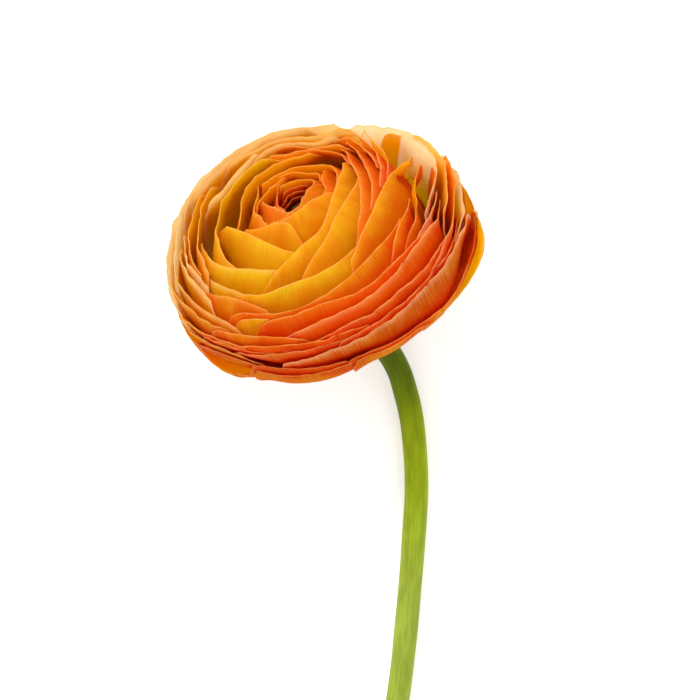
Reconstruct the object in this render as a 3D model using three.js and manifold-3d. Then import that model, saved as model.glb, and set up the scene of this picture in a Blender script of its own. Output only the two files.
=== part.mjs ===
// A cut ranunculus: one full bloom on a bare, bowed stem, lying on a surface.
// Millimetres, +Z up. The origin is the middle of the flat spot under the bloom that it rests on.
// +Y runs from the stem's cut end towards the bloom, and the bloom's face tips up and to -X.
import * as THREE from "three";
import { mergeVertices } from "three/addons/utils/BufferGeometryUtils.js";
import Module from "manifold-3d";

const wasm = await Module();
wasm.setup();

// Driving dimensions of the bloom, an oblate dome of petals round an axis.
const BLOOM_RADIUS = 42;
const DOME_HEIGHT = 24;
const BACK_DEPTH = 19;
const BLOOM_CENTRE_HEIGHT = 32;
const CENTRE_BEHIND_SPOT = 18;
const TILT = THREE.MathUtils.degToRad(48);
const TILT_HEADING = THREE.MathUtils.degToRad(117);

// Petals. A blade is a wedge: thin at its rim, with an inner face that leans in to a thick root.
const BLADE = 0.7;
const ROOT_LEAN = 5;
const ROOT_LEAN_SHARE = 0.3;
const ROOT_DEPTH = 0.93;
const VISIBLE_REACH = 15;
const BACK_PETALS = 15;
const LONG_BLADE = 30;
const MIDDLING_BLADE = 16;

// How the petals nest, in degrees of latitude, and how their rims end, in degrees of azimuth.
const LAYER_STEP = 2;
const END_FALL = 2.6;
const END_REACH = 5;
const END_CLEARANCE = 3;
const LOWEST_RIM = -24;
const HIGHEST_CUP = 88.5;
const SMOOTHING = 5;
const TABLE_STEP = 3;
const COLUMN_STEP = 15;

// The cups' shape. They bulge past their rims, most on the side that faces the heading.
const SHALLOWEST = 20;
const OUTER_SPREAD = 0.075;
const BULGE_MEAN = 6;
const BULGE_SWING = 3;
const BULGE_HEADING = 310;
const BULGE_POWER = 1.6;
const LEAST_BULGE = 0.02;
const LEAST_COSINE = -0.985;
const LOWEST_ROOT = 0.2;
const ROOT_STEP = 0.02;
const PRESS_SOFTNESS = 1.2;

// Core, heart and the gap that separate pieces keep.
const CORE_RADIUS = 35;
const CORE_TOP = 17.5;
const CORE_GIRTH = 38;
const CORE_BACK = 17.5;
const CORE_STEPS = 12;
const CORE_SIDES = 32;
const HEART_RADIUS = 4.2;
const HEART_BASE = 11;
const HEART_TOP = 19.2;
const HEART_SIDES = 16;
const GAP = 0.3;

// How far joined solids may shift as small triangles are merged away.
const BLOOM_TOLERANCE = 0.03;
const GREEN_TOLERANCE = 0.01;

// Stem, from inside its receptacle to its cut end. It comes down to the surface and lies on it.
const STEM_RADIUS = 3.2;
const LYING = 3.15;
const STEM_SIDES = 12;
const STEM_STEPS = 44;
const STEM_PATH = [
  [14.9, -28.9, 18.8],
  [17, -32.2, 16],
  [21.5, -38, 11.8],
  [25.9, -43.3, 8.4],
  [29.2, -48.1, 6.2],
  [30.7, -52.1, 4.9],
  [31.8, -56.2, 4],
  [32.6, -60.3, 3.5],
  [33.3, -66.4, STEM_RADIUS],
  [33.9, -76.6, LYING],
  [33.1, -92.8, LYING],
  [31.8, -109.1, LYING],
  [29.2, -133.4, LYING],
  [25.4, -156, LYING],
  [21, -178, LYING],
  [15.7, -200, LYING],
];

// The receptacle at the stem's top and the calyx's ring round it, as [radius, height] points.
const RECEPTACLE = [[0, -26], [3.5, -25.5], [5.2, -22], [7, -19], [6.4, -17.9], [0, -17.9]];
const CALYX_RING = [[7.3, -20.7], [8.8, -20.7], [8.8, -19.6], [7.3, -19.6], [7.3, -20.7]];
const RING_SIDES = 24;

// Five narrow sepals, as [half width, height] from root to tip and columns from side to side.
const SEPAL_COUNT = 5;
const FIRST_SEPAL = 54;
const SEPAL_THICKNESS = 0.9;
const SEPAL_ROOT = 7.9;
const SEPAL_LENGTH = 9.5;
const SEPAL_ROWS = [[2.6, -20.1], [3.8, -20.2], [4, -20.5], [2.8, -21.1], [0.5, -22]];
const SEPAL_COLUMNS = [-1, -0.5, 0, 0.5, 1];
const SEPAL_CUPPING = 0.17;

// The petals' rims, inner to outer. Each rim is a run of [azimuth, latitude] points in degrees on the
// dome: azimuth turns round the bloom's axis from the right-hand side over the far side, and latitude
// is 90 in the eye and 0 at the widest ring.
const RIMS = [
  [[150, 86], [240, 86.8], [330, 86]],
  [[340, 86.2], [60, 87], [150, 86.4]],
  [[340, 80.5], [355, 81.8], [10, 83.6], [30, 85], [60, 86.3], [90, 86.2], [110, 85.3], [125, 84]],
  [[105, 83.6], [140, 85], [165, 85], [185, 84.7], [205, 83.3], [220, 82], [240, 80.6], [252, 79.6]],
  [[165, 79], [180, 80.2], [195, 81.3], [210, 81.8], [222, 80.6], [235, 79], [248, 78]],
  [[228, 78.5], [240, 80], [262, 80.4], [278, 81.2], [288, 83], [300, 83.5], [318, 83.3], [332, 82.3],
    [345, 80.3], [355, 78]],
  [[90, 82.3], [110, 82.3], [125, 81.7], [140, 81.2], [155, 79.6], [168, 77.7], [180, 76.5]],
  [[355, 75.5], [5, 78], [20, 80.2], [35, 81], [55, 81], [75, 79.5], [95, 78.3]],
  [[300, 73.5], [318, 75.8], [330, 77.2], [345, 78.8], [355, 78.6], [5, 77.3], [12, 75]],
  [[345, 71.8], [355, 72.7], [5, 73.5], [20, 75.4], [35, 76.9], [50, 77.4], [90, 78.8], [108, 78.2],
    [125, 77.3]],
  [[130, 77.6], [150, 77.7], [165, 77.2], [180, 76], [192, 76.4], [202, 76.9], [210, 75], [216, 73.6]],
  [[205, 74.7], [215, 75.4], [225, 76.5], [240, 77.8], [255, 78.2], [270, 78.8], [285, 79.3],
    [300, 79.8], [315, 79.4], [330, 77.8], [340, 76]],
  [[188, 68.8], [198, 71], [210, 73], [222, 74.8], [240, 75.7], [255, 76.8], [265, 77.7], [278, 77],
    [288, 74]],
  [[52, 69], [65, 71], [78, 72.2], [90, 71.3], [105, 71.2], [118, 72.3], [127, 73], [138, 72.2],
    [155, 72], [170, 71.4], [182, 70], [192, 68.3]],
  [[172, 64], [178, 65.5], [186, 66.9], [196, 67.8], [206, 67.5], [218, 67.2], [232, 66], [243, 64],
    [252, 61.8], [262, 58]],
  [[85, 57], [93, 60.5], [101, 62], [115, 62], [130, 62.3], [139, 62], [142, 60.3], [147, 61.3],
    [160, 61.2], [172, 60.7], [181, 59.2], [190, 57.5], [200, 55.6], [210, 53.8], [218, 51]],
  [[165, 44.2], [175, 47.3], [185, 49.8], [195, 51.8], [205, 53], [218, 55.5], [228, 55.8], [240, 55],
    [252, 52]],
  [[234, 46], [237, 51], [241, 55.3], [247, 58.5], [254, 61.5], [262, 63.8], [272, 65], [280, 66.5],
    [288, 69], [298, 71], [312, 72.8], [330, 73.3], [343, 73], [355, 71], [7, 69]],
  [[254, 48], [257, 51], [261, 54.5], [266, 57.5], [272, 59.7], [280, 62], [288, 65], [296, 66.6],
    [308, 67.4], [320, 67.3], [328, 66.7], [334, 65.4], [345, 62]],
  [[5, 64.5], [15, 66.3], [30, 67.1], [45, 67], [60, 67.2], [75, 68], [88, 67]],
  [[290, 50], [294, 53], [300, 57], [308, 59.8], [318, 62.3], [330, 64.5], [345, 66], [0, 67],
    [10, 66.3], [20, 64.8], [27, 63.8]],
  [[22, 61.5], [38, 64], [50, 63.3], [57, 61.5], [66, 59], [75, 57.3], [84, 55]],
  [[314, 55.5], [322, 57.5], [332, 60], [342, 61.5], [352, 62.5], [2, 62.7], [12, 62], [22, 61],
    [30, 60.3]],
  [[352, 57.6], [2, 58.6], [12, 58.9], [22, 58.3], [30, 57.3], [37, 55.5], [43, 53.5], [50, 52]],
  [[193, 41.5], [198, 42.8], [204, 44.3], [211, 45], [218, 44.8], [225, 43.5], [232, 41]],
  [[218, 42.5], [222, 44], [230, 45.3], [238, 47], [245, 49.2], [252, 49.8], [262, 49.6],
    [283, 50], [292, 49.5], [300, 47]],
  [[282, 47.5], [288, 50], [295, 52.7], [302, 54.3], [311, 55.6], [320, 56.4], [330, 56], [338, 54.8],
    [346, 53], [356, 51]],
  [[50, 56], [58, 58.2], [66, 57], [74, 54.5], [84, 53.5], [92, 54.3], [100, 53]],
  [[98, 50], [106, 56], [114, 57.5], [122, 55.5], [130, 58.5], [137, 57.5], [143, 53]],
  [[335, 54.5], [345, 56.3], [355, 57], [5, 56.2], [15, 54.6], [25, 53], [37, 51.5], [46, 50.5]],
  [[125, 44], [131, 46], [138, 48], [146, 50], [155, 51], [167, 51], [178, 50.3], [188, 49.7], [196, 47]],
  [[342, 51.5], [350, 52.6], [358, 53.4], [7, 53.8], [15, 53.5], [22, 52.3], [30, 51]],
  [[50, 48], [60, 50], [70, 51], [80, 49.5], [90, 47.5], [100, 48.5], [110, 47]],
  [[128, 38], [135, 40], [141, 42.5], [148, 44], [157, 45.3], [166, 45.3], [176, 44], [190, 43.2]],
  [[155, 39.5], [164, 41.3], [172, 42.6], [182, 43.1], [192, 42.7], [200, 41.5]],
  [[198, 37.8], [204, 39.6], [210, 41.6], [216, 43], [221, 42.2], [228, 41.2], [236, 38]],
  [[214, 33], [221, 36], [228, 36.7], [240, 36.8], [250, 37.2], [258, 38.6], [268, 40.5], [278, 42],
    [286, 43.4], [296, 44.1], [308, 44.1], [316, 43]],
  [[163, 37.5], [172, 38.5], [180, 39.7], [190, 40.7], [198, 40], [206, 38]],
  [[70, 40], [80, 42.5], [90, 42], [100, 43.5], [110, 42.5], [120, 43], [130, 40]],
  [[293, 30], [297, 35], [301, 39.5], [306, 42], [313, 43.8], [322, 44.2], [330, 45], [338, 46.5],
    [344, 45]],
  [[303, 32], [309, 35], [317, 37.8], [325, 40], [333, 42.5], [340, 43.9], [347, 43.3], [354, 41.8]],
  [[335, 38], [342, 43], [350, 46.5], [357, 49], [2, 48.5], [7, 46], [12, 42.5], [17, 38.5], [22, 34]],
  [[8, 43], [15, 46.5], [25, 47.5], [35, 47.5], [45, 45.5], [55, 43]],
  [[303, 28.5], [307, 30.5], [313, 31.9], [320, 33.1], [327, 33.6], [334, 32.9], [340, 32], [348, 29]],
  [[218, 24], [220, 27], [222, 30.3], [225, 33], [230, 34.3], [236, 33.8], [245, 32], [255, 29]],
  [[230, 22], [233, 29], [237, 33], [242, 34], [250, 34.8], [258, 36], [266, 35.2], [275, 33.5],
    [285, 33.4], [293, 34.3], [302, 33.7], [309, 32.5], [316, 30]],
  [[165, 31.5], [175, 32.8], [188, 33], [202, 32.8], [213, 31.8], [222, 29]],
  [[58, 31], [75, 35], [95, 36], [110, 34.5], [125, 35.5], [140, 33]],
  [[132, 30], [142, 34], [152, 33.5], [160, 36], [168, 33], [176, 29]],
  [[322, 27.8], [328, 29.3], [335, 30.4], [345, 31], [355, 31.8], [3, 31.5], [12, 29.5], [22, 27]],
  [[256, 28.5], [265, 28], [275, 27.8], [285, 28.5], [293, 29.4], [300, 30.5], [307, 30.9],
    [314, 30.3], [321, 29.2], [327, 27.2], [333, 26.2], [340, 24]],
  [[180, 27.5], [190, 28.4], [200, 28.5], [210, 27.6], [218, 26]],
  [[210, 24], [214, 26], [222, 26.7], [232, 26], [241, 24.9], [246, 23], [250, 19.5]],
  [[326, 24], [332, 26], [338, 26.9], [345, 26.9], [353, 26], [0, 24.5], [12, 23], [25, 21]],
  [[20, 24], [40, 28], [60, 26], [80, 24]],
  [[90, 24], [110, 27], [130, 26], [150, 25], [170, 24]],
  [[252, 16], [256, 18.5], [261, 20.6], [267, 21.5], [275, 20.6], [286, 21.8], [296, 21.2],
    [306, 20.2], [313, 19.6], [320, 17]],
  [[303, 14], [307, 16.5], [313, 18.3], [320, 19.3], [328, 20.5], [337, 21.7], [348, 22], [356, 21.5],
    [5, 18]],
  [[186, 18.5], [193, 20.2], [199, 20.5], [206, 19], [211, 20.3], [219, 20.2], [226, 19]],
  [[226, 19.8], [232, 21], [240, 20.4], [248, 19.2], [256, 18.2], [263, 18], [268, 16.8], [273, 14]],
  [[203, 14.5], [208, 17.3], [214, 18.4], [219, 17.8], [225, 16.3], [232, 15], [240, 14.8], [248, 14.3]],
  [[10, 14], [35, 18], [60, 16], [85, 14]],
  [[75, 13], [100, 17], [125, 15], [150, 18], [175, 15], [190, 12]],
  [[217, 9], [221, 12.3], [227, 13.7], [236, 14], [246, 14.2], [256, 13.6], [264, 12], [270, 10.8],
    [278, 8]],
  [[262, 11.8], [270, 13.8], [280, 14], [290, 14.5], [300, 14.3], [309, 13.3], [318, 12.1],
    [328, 11.8], [336, 10]],
  [[322, 9], [332, 13], [342, 15], [352, 14.5], [2, 12], [12, 9]],
  [[238, 4], [246, 6.8], [255, 8], [264, 8.3], [273, 9.4], [283, 10.2], [293, 11.3], [304, 10.9],
    [315, 9.9], [328, 9.8], [338, 7]],
  [[165, 4], [178, 8], [190, 6], [202, 7], [212, 6.5], [219, 4], [225, 1]],
  [[0, 4], [25, 8], [50, 5], [75, 3]],
  [[70, 3], [95, 7], [120, 6], [145, 7], [165, 4]],
  [[316, -3], [325, 2], [335, 5], [345, 5.5], [355, 3], [5, 0]],
  [[190, -6], [200, -1], [210, -2], [218, -5], [226, -9]],
  [[222, -2], [230, -0.5], [238, -1.2], [246, -2.8], [253, -5], [260, -8.5]],
  [[262, -9.6], [272, -9.3], [285, -8.9], [298, -8.2], [310, -7.6], [320, -6.8], [330, -5.2], [338, -4]],
  [[340, -6], [0, -3], [25, -2], [45, -5]],
  [[120, -5], [145, -2], [170, -3], [195, -6]],
  [[225, -9.5], [240, -9], [255, -10], [268, -12]],
  [[272, -12], [285, -10.6], [297, -10.2], [310, -10], [322, -9], [334, -8]],
  [[30, -8], [60, -5], [90, -4], [120, -5], [148, -8]],
];

// The axes of the bloom: right across it, towards its far side, and out of its eye.
const sideAxis = new THREE.Vector3(Math.sin(TILT_HEADING), -Math.cos(TILT_HEADING), 0);
const heading = new THREE.Vector3(Math.cos(TILT_HEADING), Math.sin(TILT_HEADING), 0);
const eyeAxis = heading.clone().multiplyScalar(Math.sin(TILT)).setZ(Math.cos(TILT));
const farAxis = heading.clone().multiplyScalar(Math.cos(TILT)).setZ(-Math.sin(TILT));
const bloomCentre = heading.clone().multiplyScalar(-CENTRE_BEHIND_SPOT).setZ(BLOOM_CENTRE_HEIGHT);
const bloomFrame = new THREE.Matrix4()
  .makeBasis(sideAxis, farAxis, eyeAxis)
  .setPosition(bloomCentre);

const degrees = THREE.MathUtils.degToRad;
const circular = (angle) => ((angle % 360) + 360) % 360;

// The dome's height at a latitude.
function domeHeight(latitude) {
  const depth = latitude < 0 ? BACK_DEPTH : DOME_HEIGHT;
  return depth * Math.sin(degrees(latitude));
}

// The radius of a cup whose rim is at a latitude. Cups keep apart round the widest ring.
function cupRimRadius(latitude) {
  const free = BLOOM_RADIUS * Math.cos(degrees(Math.max(latitude, SHALLOWEST)));
  return free + OUTER_SPREAD * Math.max(0, SHALLOWEST - latitude);
}

// A cup is a bowl whose side is an arc of an ellipse, from the bloom's base up to a rim on the dome.
function cupAt(latitude, azimuth) {
  const rim = cupRimRadius(latitude);
  const bulge = BULGE_MEAN + BULGE_SWING * Math.cos(degrees(azimuth - BULGE_HEADING));
  const room = Math.max(0, 1 - Math.pow(Math.min(1, rim / BLOOM_RADIUS), BULGE_POWER));
  const width = rim + Math.max(LEAST_BULGE, bulge * room);
  const turn = Math.PI - Math.asin(rim / width);
  const rise = (domeHeight(latitude) + BACK_DEPTH) / (1 - Math.cos(turn));
  return { width, rise };
}

// A point on a cup, with its outward direction, in the bloom's own axes.
function cupPoint(cup, turn, azimuth, out) {
  const radius = cup.width * Math.sin(turn);
  const height = -BACK_DEPTH + cup.rise * (1 - Math.cos(turn));
  const outward = new THREE.Vector2(Math.sin(turn) / cup.width, -Math.cos(turn) / cup.rise).normalize();
  const r = radius + outward.x * out;
  const angle = degrees(azimuth);
  return new THREE.Vector3(r * Math.cos(angle), r * Math.sin(angle), height + outward.y * out);
}

// A rim with its azimuths unrolled so that they rise.
function unrolled(rim) {
  const points = [];
  for (const [azimuth, latitude] of rim) {
    const last = points.length ? points[points.length - 1][0] : azimuth;
    points.push([azimuth + 360 * Math.round((last - azimuth) / 360), latitude]);
    if (points.length > 1 && points[points.length - 1][0] < last) points[points.length - 1][0] += 360;
  }
  return points;
}

// A petal's rim latitude at an azimuth. Past its ends the rim falls away steeply.
function rimLatitude(points, azimuth) {
  const first = points[0];
  const last = points[points.length - 1];
  if (azimuth <= first[0]) return first[1] - END_FALL * (first[0] - azimuth);
  if (azimuth >= last[0]) return last[1] - END_FALL * (azimuth - last[0]);
  const next = points.findIndex((point) => point[0] >= azimuth);
  const [a0, l0] = points[next - 1];
  const [a1, l1] = points[next];
  return l0 + ((l1 - l0) * (azimuth - a0)) / (a1 - a0);
}

// The azimuth in the turn that is nearest to the middle of a petal.
function nearestTurn(points, azimuth) {
  const middle = (points[0][0] + points[points.length - 1][0]) / 2;
  return azimuth + 360 * Math.round((middle - azimuth) / 360);
}

// Smooths a table of values round the circle.
function smoothed(table) {
  const reach = Math.ceil((2.5 * SMOOTHING) / TABLE_STEP);
  return table.map((_, at) => {
    let sum = 0;
    let weights = 0;
    for (let k = -reach; k <= reach; k += 1) {
      const weight = Math.exp(-0.5 * Math.pow((k * TABLE_STEP) / SMOOTHING, 2));
      sum += weight * table[(at + k + table.length) % table.length];
      weights += weight;
    }
    return sum / weights;
  });
}

// Which cup each petal lies in, from the outermost in. A petal lies inside every petal after it in the
// list, and two neighbours never cross, because smoothing keeps their order.
function nestPetals(rims) {
  const count = 360 / TABLE_STEP;
  let envelope = new Array(count).fill(LOWEST_RIM);
  const petals = [];
  for (let at = rims.length - 1; at >= 0; at -= 1) {
    const points = unrolled(rims[at]);
    const from = points[0][0];
    const to = points[points.length - 1][0];
    envelope = envelope.map((outer, index) => {
      const azimuth = nearestTurn(points, index * TABLE_STEP);
      const past = Math.max(0, from - azimuth, azimuth - to);
      const presence = Math.max(0, 1 - past / (2 * END_REACH));
      const nested = Math.max(outer + LAYER_STEP * presence, rimLatitude(points, azimuth));
      return Math.min(HIGHEST_CUP, nested);
    });
    const reach = rims.length - at <= BACK_PETALS ? Infinity : VISIBLE_REACH;
    petals.push({ points, from: from - END_REACH, to: to + END_REACH, cups: smoothed(envelope), reach });
  }
  return petals.reverse();
}

function cupLatitude(petal, azimuth) {
  const place = circular(azimuth) / TABLE_STEP;
  const low = Math.floor(place);
  const part = place - low;
  const count = petal.cups.length;
  return petal.cups[low % count] * (1 - part) + petal.cups[(low + 1) % count] * part;
}

// How far round its cup a rim at a latitude is.
function rimTurn(cup, latitude) {
  const cosine = 1 - (domeHeight(Math.max(LOWEST_RIM, latitude)) + BACK_DEPTH) / cup.rise;
  return Math.acos(THREE.MathUtils.clamp(cosine, LEAST_COSINE, 1));
}

// True inside the core's smooth body.
function insideCore(point) {
  const radius = point.z > 0 ? CORE_RADIUS : CORE_GIRTH;
  const depth = point.z > 0 ? CORE_TOP : CORE_BACK;
  return Math.hypot(Math.hypot(point.x, point.y) / radius, point.z / depth) < ROOT_DEPTH;
}

// How far a point on a petal's middle is lifted so that the petals lie flat on the surface. The lift
// sets in softly, so that layers keep their order.
function liftAt(point) {
  const { z } = point.clone().applyMatrix4(bloomFrame);
  return (Math.hypot(z, PRESS_SOFTNESS) - z) / 2;
}

// A closed blade between two faces, each a grid of points, split into triangles alike.
function bladeGeometry(columns, rows, faceOut, faceIn) {
  const positions = [];
  const index = [];
  for (const face of [faceOut, faceIn])
    for (const point of face) positions.push(point.x, point.y, point.z);
  const count = columns * rows;
  const outer = (column, row) => column * rows + row;
  const inner = (column, row) => count + outer(column, row);
  const quad = (a, b, c, d) => index.push(a, b, c, a, c, d);
  for (let i = 0; i < columns - 1; i += 1) {
    for (let j = 0; j < rows - 1; j += 1) {
      quad(outer(i, j), outer(i + 1, j), outer(i + 1, j + 1), outer(i, j + 1));
      index.push(inner(i, j), inner(i + 1, j + 1), inner(i + 1, j));
      index.push(inner(i, j), inner(i, j + 1), inner(i + 1, j + 1));
    }
    quad(outer(i, 0), inner(i, 0), inner(i + 1, 0), outer(i + 1, 0));
    quad(outer(i + 1, rows - 1), inner(i + 1, rows - 1), inner(i, rows - 1), outer(i, rows - 1));
  }
  for (let j = 0; j < rows - 1; j += 1) {
    quad(outer(0, j + 1), inner(0, j + 1), inner(0, j), outer(0, j));
    const last = columns - 1;
    quad(outer(last, j), inner(last, j), inner(last, j + 1), outer(last, j + 1));
  }
  const geometry = new THREE.BufferGeometry();
  geometry.setAttribute("position", new THREE.Float32BufferAttribute(positions, 3));
  geometry.setIndex(index);
  return geometry;
}

// The azimuths of a petal's columns: its two ends and the shared grid's between them.
function columnAzimuths(petal) {
  const azimuths = [petal.from];
  const first = Math.ceil((petal.from + END_CLEARANCE) / COLUMN_STEP) * COLUMN_STEP;
  for (let at = first; at < petal.to - END_CLEARANCE; at += COLUMN_STEP) azimuths.push(at);
  azimuths.push(petal.to);
  return azimuths;
}

// How far round its cup a petal's rim and root are at an azimuth, for a rim at a latitude.
function spanAt(petal, azimuth, latitude) {
  const cup = cupAt(cupLatitude(petal, azimuth), azimuth);
  const rim = rimTurn(cup, latitude);
  const lowest = Math.max(LOWEST_ROOT, rim - petal.reach / cup.rise);
  let root = rim;
  while (root > lowest && !insideCore(cupPoint(cup, root, azimuth, 0))) root -= ROOT_STEP;
  return { azimuth, cup, rim, root };
}

// A point of a column between its two spans, on the straight line that joins them.
function columnPoint({ spans, part }, rise, out) {
  const [a, b] = spans.map(({ azimuth, cup, rim, root }) =>
    cupPoint(cup, root + (rim - root) * rise, azimuth, out(cup)),
  );
  return a.lerp(b, part);
}

// One petal's blade, from a root sunk in the core to its rim.
function petalBlade(petal) {
  const columns = columnAzimuths(petal).map((azimuth) => {
    const low = Math.floor(azimuth / COLUMN_STEP) * COLUMN_STEP;
    const latitude = rimLatitude(petal.points, azimuth);
    const spans = [low, low + COLUMN_STEP].map((at) => spanAt(petal, at, latitude));
    return { spans, part: (azimuth - low) / COLUMN_STEP };
  });
  const spans = columns.flatMap((column) => column.spans);
  const longest = Math.max(...spans.map(({ cup, rim, root }) => (rim - root) * cup.width));
  const rows = longest > LONG_BLADE ? 5 : longest > MIDDLING_BLADE ? 3 : 2;
  const faceOut = [];
  const faceIn = [];
  for (const column of columns)
    for (let j = 0; j < rows; j += 1) {
      const rise = j / (rows - 1);
      const lean = (cup) => Math.min(ROOT_LEAN, ROOT_LEAN_SHARE * cup.width) * (1 - rise);
      const lift = liftAt(columnPoint(column, rise, () => 0));
      const placed = (out) => {
        const point = columnPoint(column, rise, out).applyMatrix4(bloomFrame);
        return point.setZ(point.z + lift);
      };
      faceOut.push(placed(() => BLADE / 2));
      faceIn.push(placed((cup) => -BLADE / 2 - lean(cup)));
    }
  return bladeGeometry(columns.length, rows, faceOut, faceIn);
}

// Solids for joining and cutting, and back.
function solidFrom(geometry) {
  const bare = geometry.clone();
  bare.deleteAttribute("normal");
  bare.deleteAttribute("uv");
  const merged = mergeVertices(bare, 1e-4);
  return new wasm.Manifold(
    new wasm.Mesh({
      numProp: 3,
      vertProperties: merged.attributes.position.array,
      triVerts: new Uint32Array(merged.index.array),
    }),
  );
}

function geometryFrom(solid) {
  const { vertProperties, triVerts } = solid.getMesh();
  const geometry = new THREE.BufferGeometry();
  geometry.setAttribute("position", new THREE.BufferAttribute(vertProperties, 3));
  geometry.setIndex(new THREE.BufferAttribute(triVerts, 1));
  geometry.computeVertexNormals();
  return geometry;
}

// The one body of a joined solid, without loose scraps.
function mainBody(solid) {
  return solid.decompose().reduce((best, part) => (part.volume() > best.volume() ? part : best));
}

// Cut level with the surface the flower lies on.
function levelled(solid) {
  const under = new THREE.BoxGeometry(600, 600, 40).translate(0, 0, -20);
  return solid.subtract(solidFrom(under));
}

function turned(profile, sides) {
  return new THREE.LatheGeometry(profile, sides).rotateX(Math.PI / 2);
}

// The smooth core that the petals stand out of, with a pocket for the heart.
function coreSolid() {
  const profile = [new THREE.Vector2(0, -CORE_BACK)];
  const steps = CORE_STEPS;
  for (let i = 1; i < steps; i += 1) {
    const angle = -Math.PI / 2 + (Math.PI * i) / steps;
    const depth = angle < 0 ? CORE_BACK : CORE_TOP;
    const radius = angle < 0 ? CORE_GIRTH : CORE_RADIUS;
    profile.push(new THREE.Vector2(radius * Math.cos(angle), depth * Math.sin(angle)));
  }
  profile.push(new THREE.Vector2(0, CORE_TOP));
  return solidFrom(turned(profile, CORE_SIDES).applyMatrix4(bloomFrame));
}

// The cone of carpels in the eye, or its pocket when it has a margin, in the bloom's own axes.
function heartShape(margin) {
  const radius = HEART_RADIUS + margin;
  const profile = [
    new THREE.Vector2(0, HEART_BASE - margin),
    new THREE.Vector2(radius, HEART_BASE - margin),
    new THREE.Vector2(radius, HEART_BASE + 4),
    new THREE.Vector2(radius * 0.8, HEART_TOP - 2),
    new THREE.Vector2(radius * 0.35, HEART_TOP + margin),
    new THREE.Vector2(0, HEART_TOP + margin),
  ];
  return turned(profile, HEART_SIDES).applyMatrix4(bloomFrame);
}

function bloomGeometry() {
  const petals = nestPetals(RIMS);
  const blades = petals.map((petal) => solidFrom(petalBlade(petal)));
  const joined = wasm.Manifold.union([coreSolid(), ...blades]);
  const pocket = solidFrom(heartShape(GAP));
  return geometryFrom(mainBody(levelled(joined.subtract(pocket)).simplify(BLOOM_TOLERANCE)));
}

// A shape turned round the bloom's axis from [radius, height] points, as a solid.
function turnedSolid(points) {
  const profile = points.map(([radius, height]) => new THREE.Vector2(radius, height));
  return solidFrom(turned(profile, RING_SIDES).applyMatrix4(bloomFrame));
}

function stemGeometry() {
  const path = new THREE.CatmullRomCurve3(STEM_PATH.map((point) => new THREE.Vector3(...point)));
  const circle = new THREE.Shape().absarc(0, 0, STEM_RADIUS, 0, 2 * Math.PI);
  const section = new THREE.Shape(circle.getPoints(STEM_SIDES).slice(1));
  const tube = new THREE.ExtrudeGeometry(section, {
    steps: STEM_STEPS,
    extrudePath: path,
    bevelEnabled: false,
  });
  const joined = wasm.Manifold.union([solidFrom(tube), turnedSolid(RECEPTACLE)]);
  return geometryFrom(levelled(joined).simplify(GREEN_TOLERANCE));
}

// One sepal: pointed, hollow to the petals, and bent back a little.
function sepalSolid(azimuth) {
  const placing = bloomFrame.clone().multiply(new THREE.Matrix4().makeRotationZ(degrees(azimuth)));
  const rows = SEPAL_ROWS.length;
  const faceOut = [];
  const faceIn = [];
  for (const side of SEPAL_COLUMNS)
    SEPAL_ROWS.forEach(([halfWidth, depth], row) => {
      const reach = SEPAL_ROOT + (SEPAL_LENGTH * row) / (rows - 1);
      const height = depth + SEPAL_CUPPING * side * side * halfWidth;
      for (const [face, out] of [[faceOut, -1], [faceIn, 1]]) {
        const point = new THREE.Vector3(reach, side * halfWidth, height + (out * SEPAL_THICKNESS) / 2);
        face.push(point.applyMatrix4(placing));
      }
    });
  return solidFrom(bladeGeometry(SEPAL_COLUMNS.length, rows, faceOut, faceIn));
}

function calyxGeometry() {
  const sepals = [];
  for (let k = 0; k < SEPAL_COUNT; k += 1) sepals.push(sepalSolid(FIRST_SEPAL + (360 * k) / SEPAL_COUNT));
  const joined = wasm.Manifold.union([turnedSolid(CALYX_RING), ...sepals]);
  return geometryFrom(joined.simplify(GREEN_TOLERANCE));
}

function named(name, geometry, color, roughness) {
  const material = new THREE.MeshStandardMaterial({ color, roughness, metalness: 0 });
  const mesh = new THREE.Mesh(geometry, material);
  mesh.name = name;
  return mesh;
}

const group = new THREE.Group();
group.add(named("bloom", bloomGeometry(), 0xf28a12, 0.55));
group.add(named("heart", heartShape(0), 0x5b3f14, 0.6));
group.add(named("stem", stemGeometry(), 0x86a02c, 0.5));
group.add(named("calyx", calyxGeometry(), 0x7c9436, 0.6));

export default group;
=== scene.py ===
# The looks of a cut ranunculus that lies on a pale floor, seen from straight above.
# Lengths are in millimetres until a mesh is made, and then in metres. The bloom's own axes run right
# across it, towards its far side, and out of its eye. Azimuths turn round the eye from the right-hand
# side over the far side, and the near side is at 270. Latitudes run from 0 at the widest ring to 90 in
# the eye. Both are in degrees.
import math

import bpy
import numpy as np
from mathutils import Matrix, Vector


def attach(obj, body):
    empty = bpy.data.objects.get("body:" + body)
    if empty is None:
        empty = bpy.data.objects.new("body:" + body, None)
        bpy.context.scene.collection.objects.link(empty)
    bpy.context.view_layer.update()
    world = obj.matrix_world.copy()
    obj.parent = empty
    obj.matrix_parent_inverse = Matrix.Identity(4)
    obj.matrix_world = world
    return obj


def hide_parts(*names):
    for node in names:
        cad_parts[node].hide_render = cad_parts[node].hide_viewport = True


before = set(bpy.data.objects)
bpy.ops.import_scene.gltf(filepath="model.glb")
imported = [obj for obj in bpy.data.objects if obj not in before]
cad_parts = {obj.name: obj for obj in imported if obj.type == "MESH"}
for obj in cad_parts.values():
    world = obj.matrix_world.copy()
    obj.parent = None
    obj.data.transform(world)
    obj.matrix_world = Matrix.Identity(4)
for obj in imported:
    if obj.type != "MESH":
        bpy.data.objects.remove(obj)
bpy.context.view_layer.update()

MM = 0.001

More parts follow.
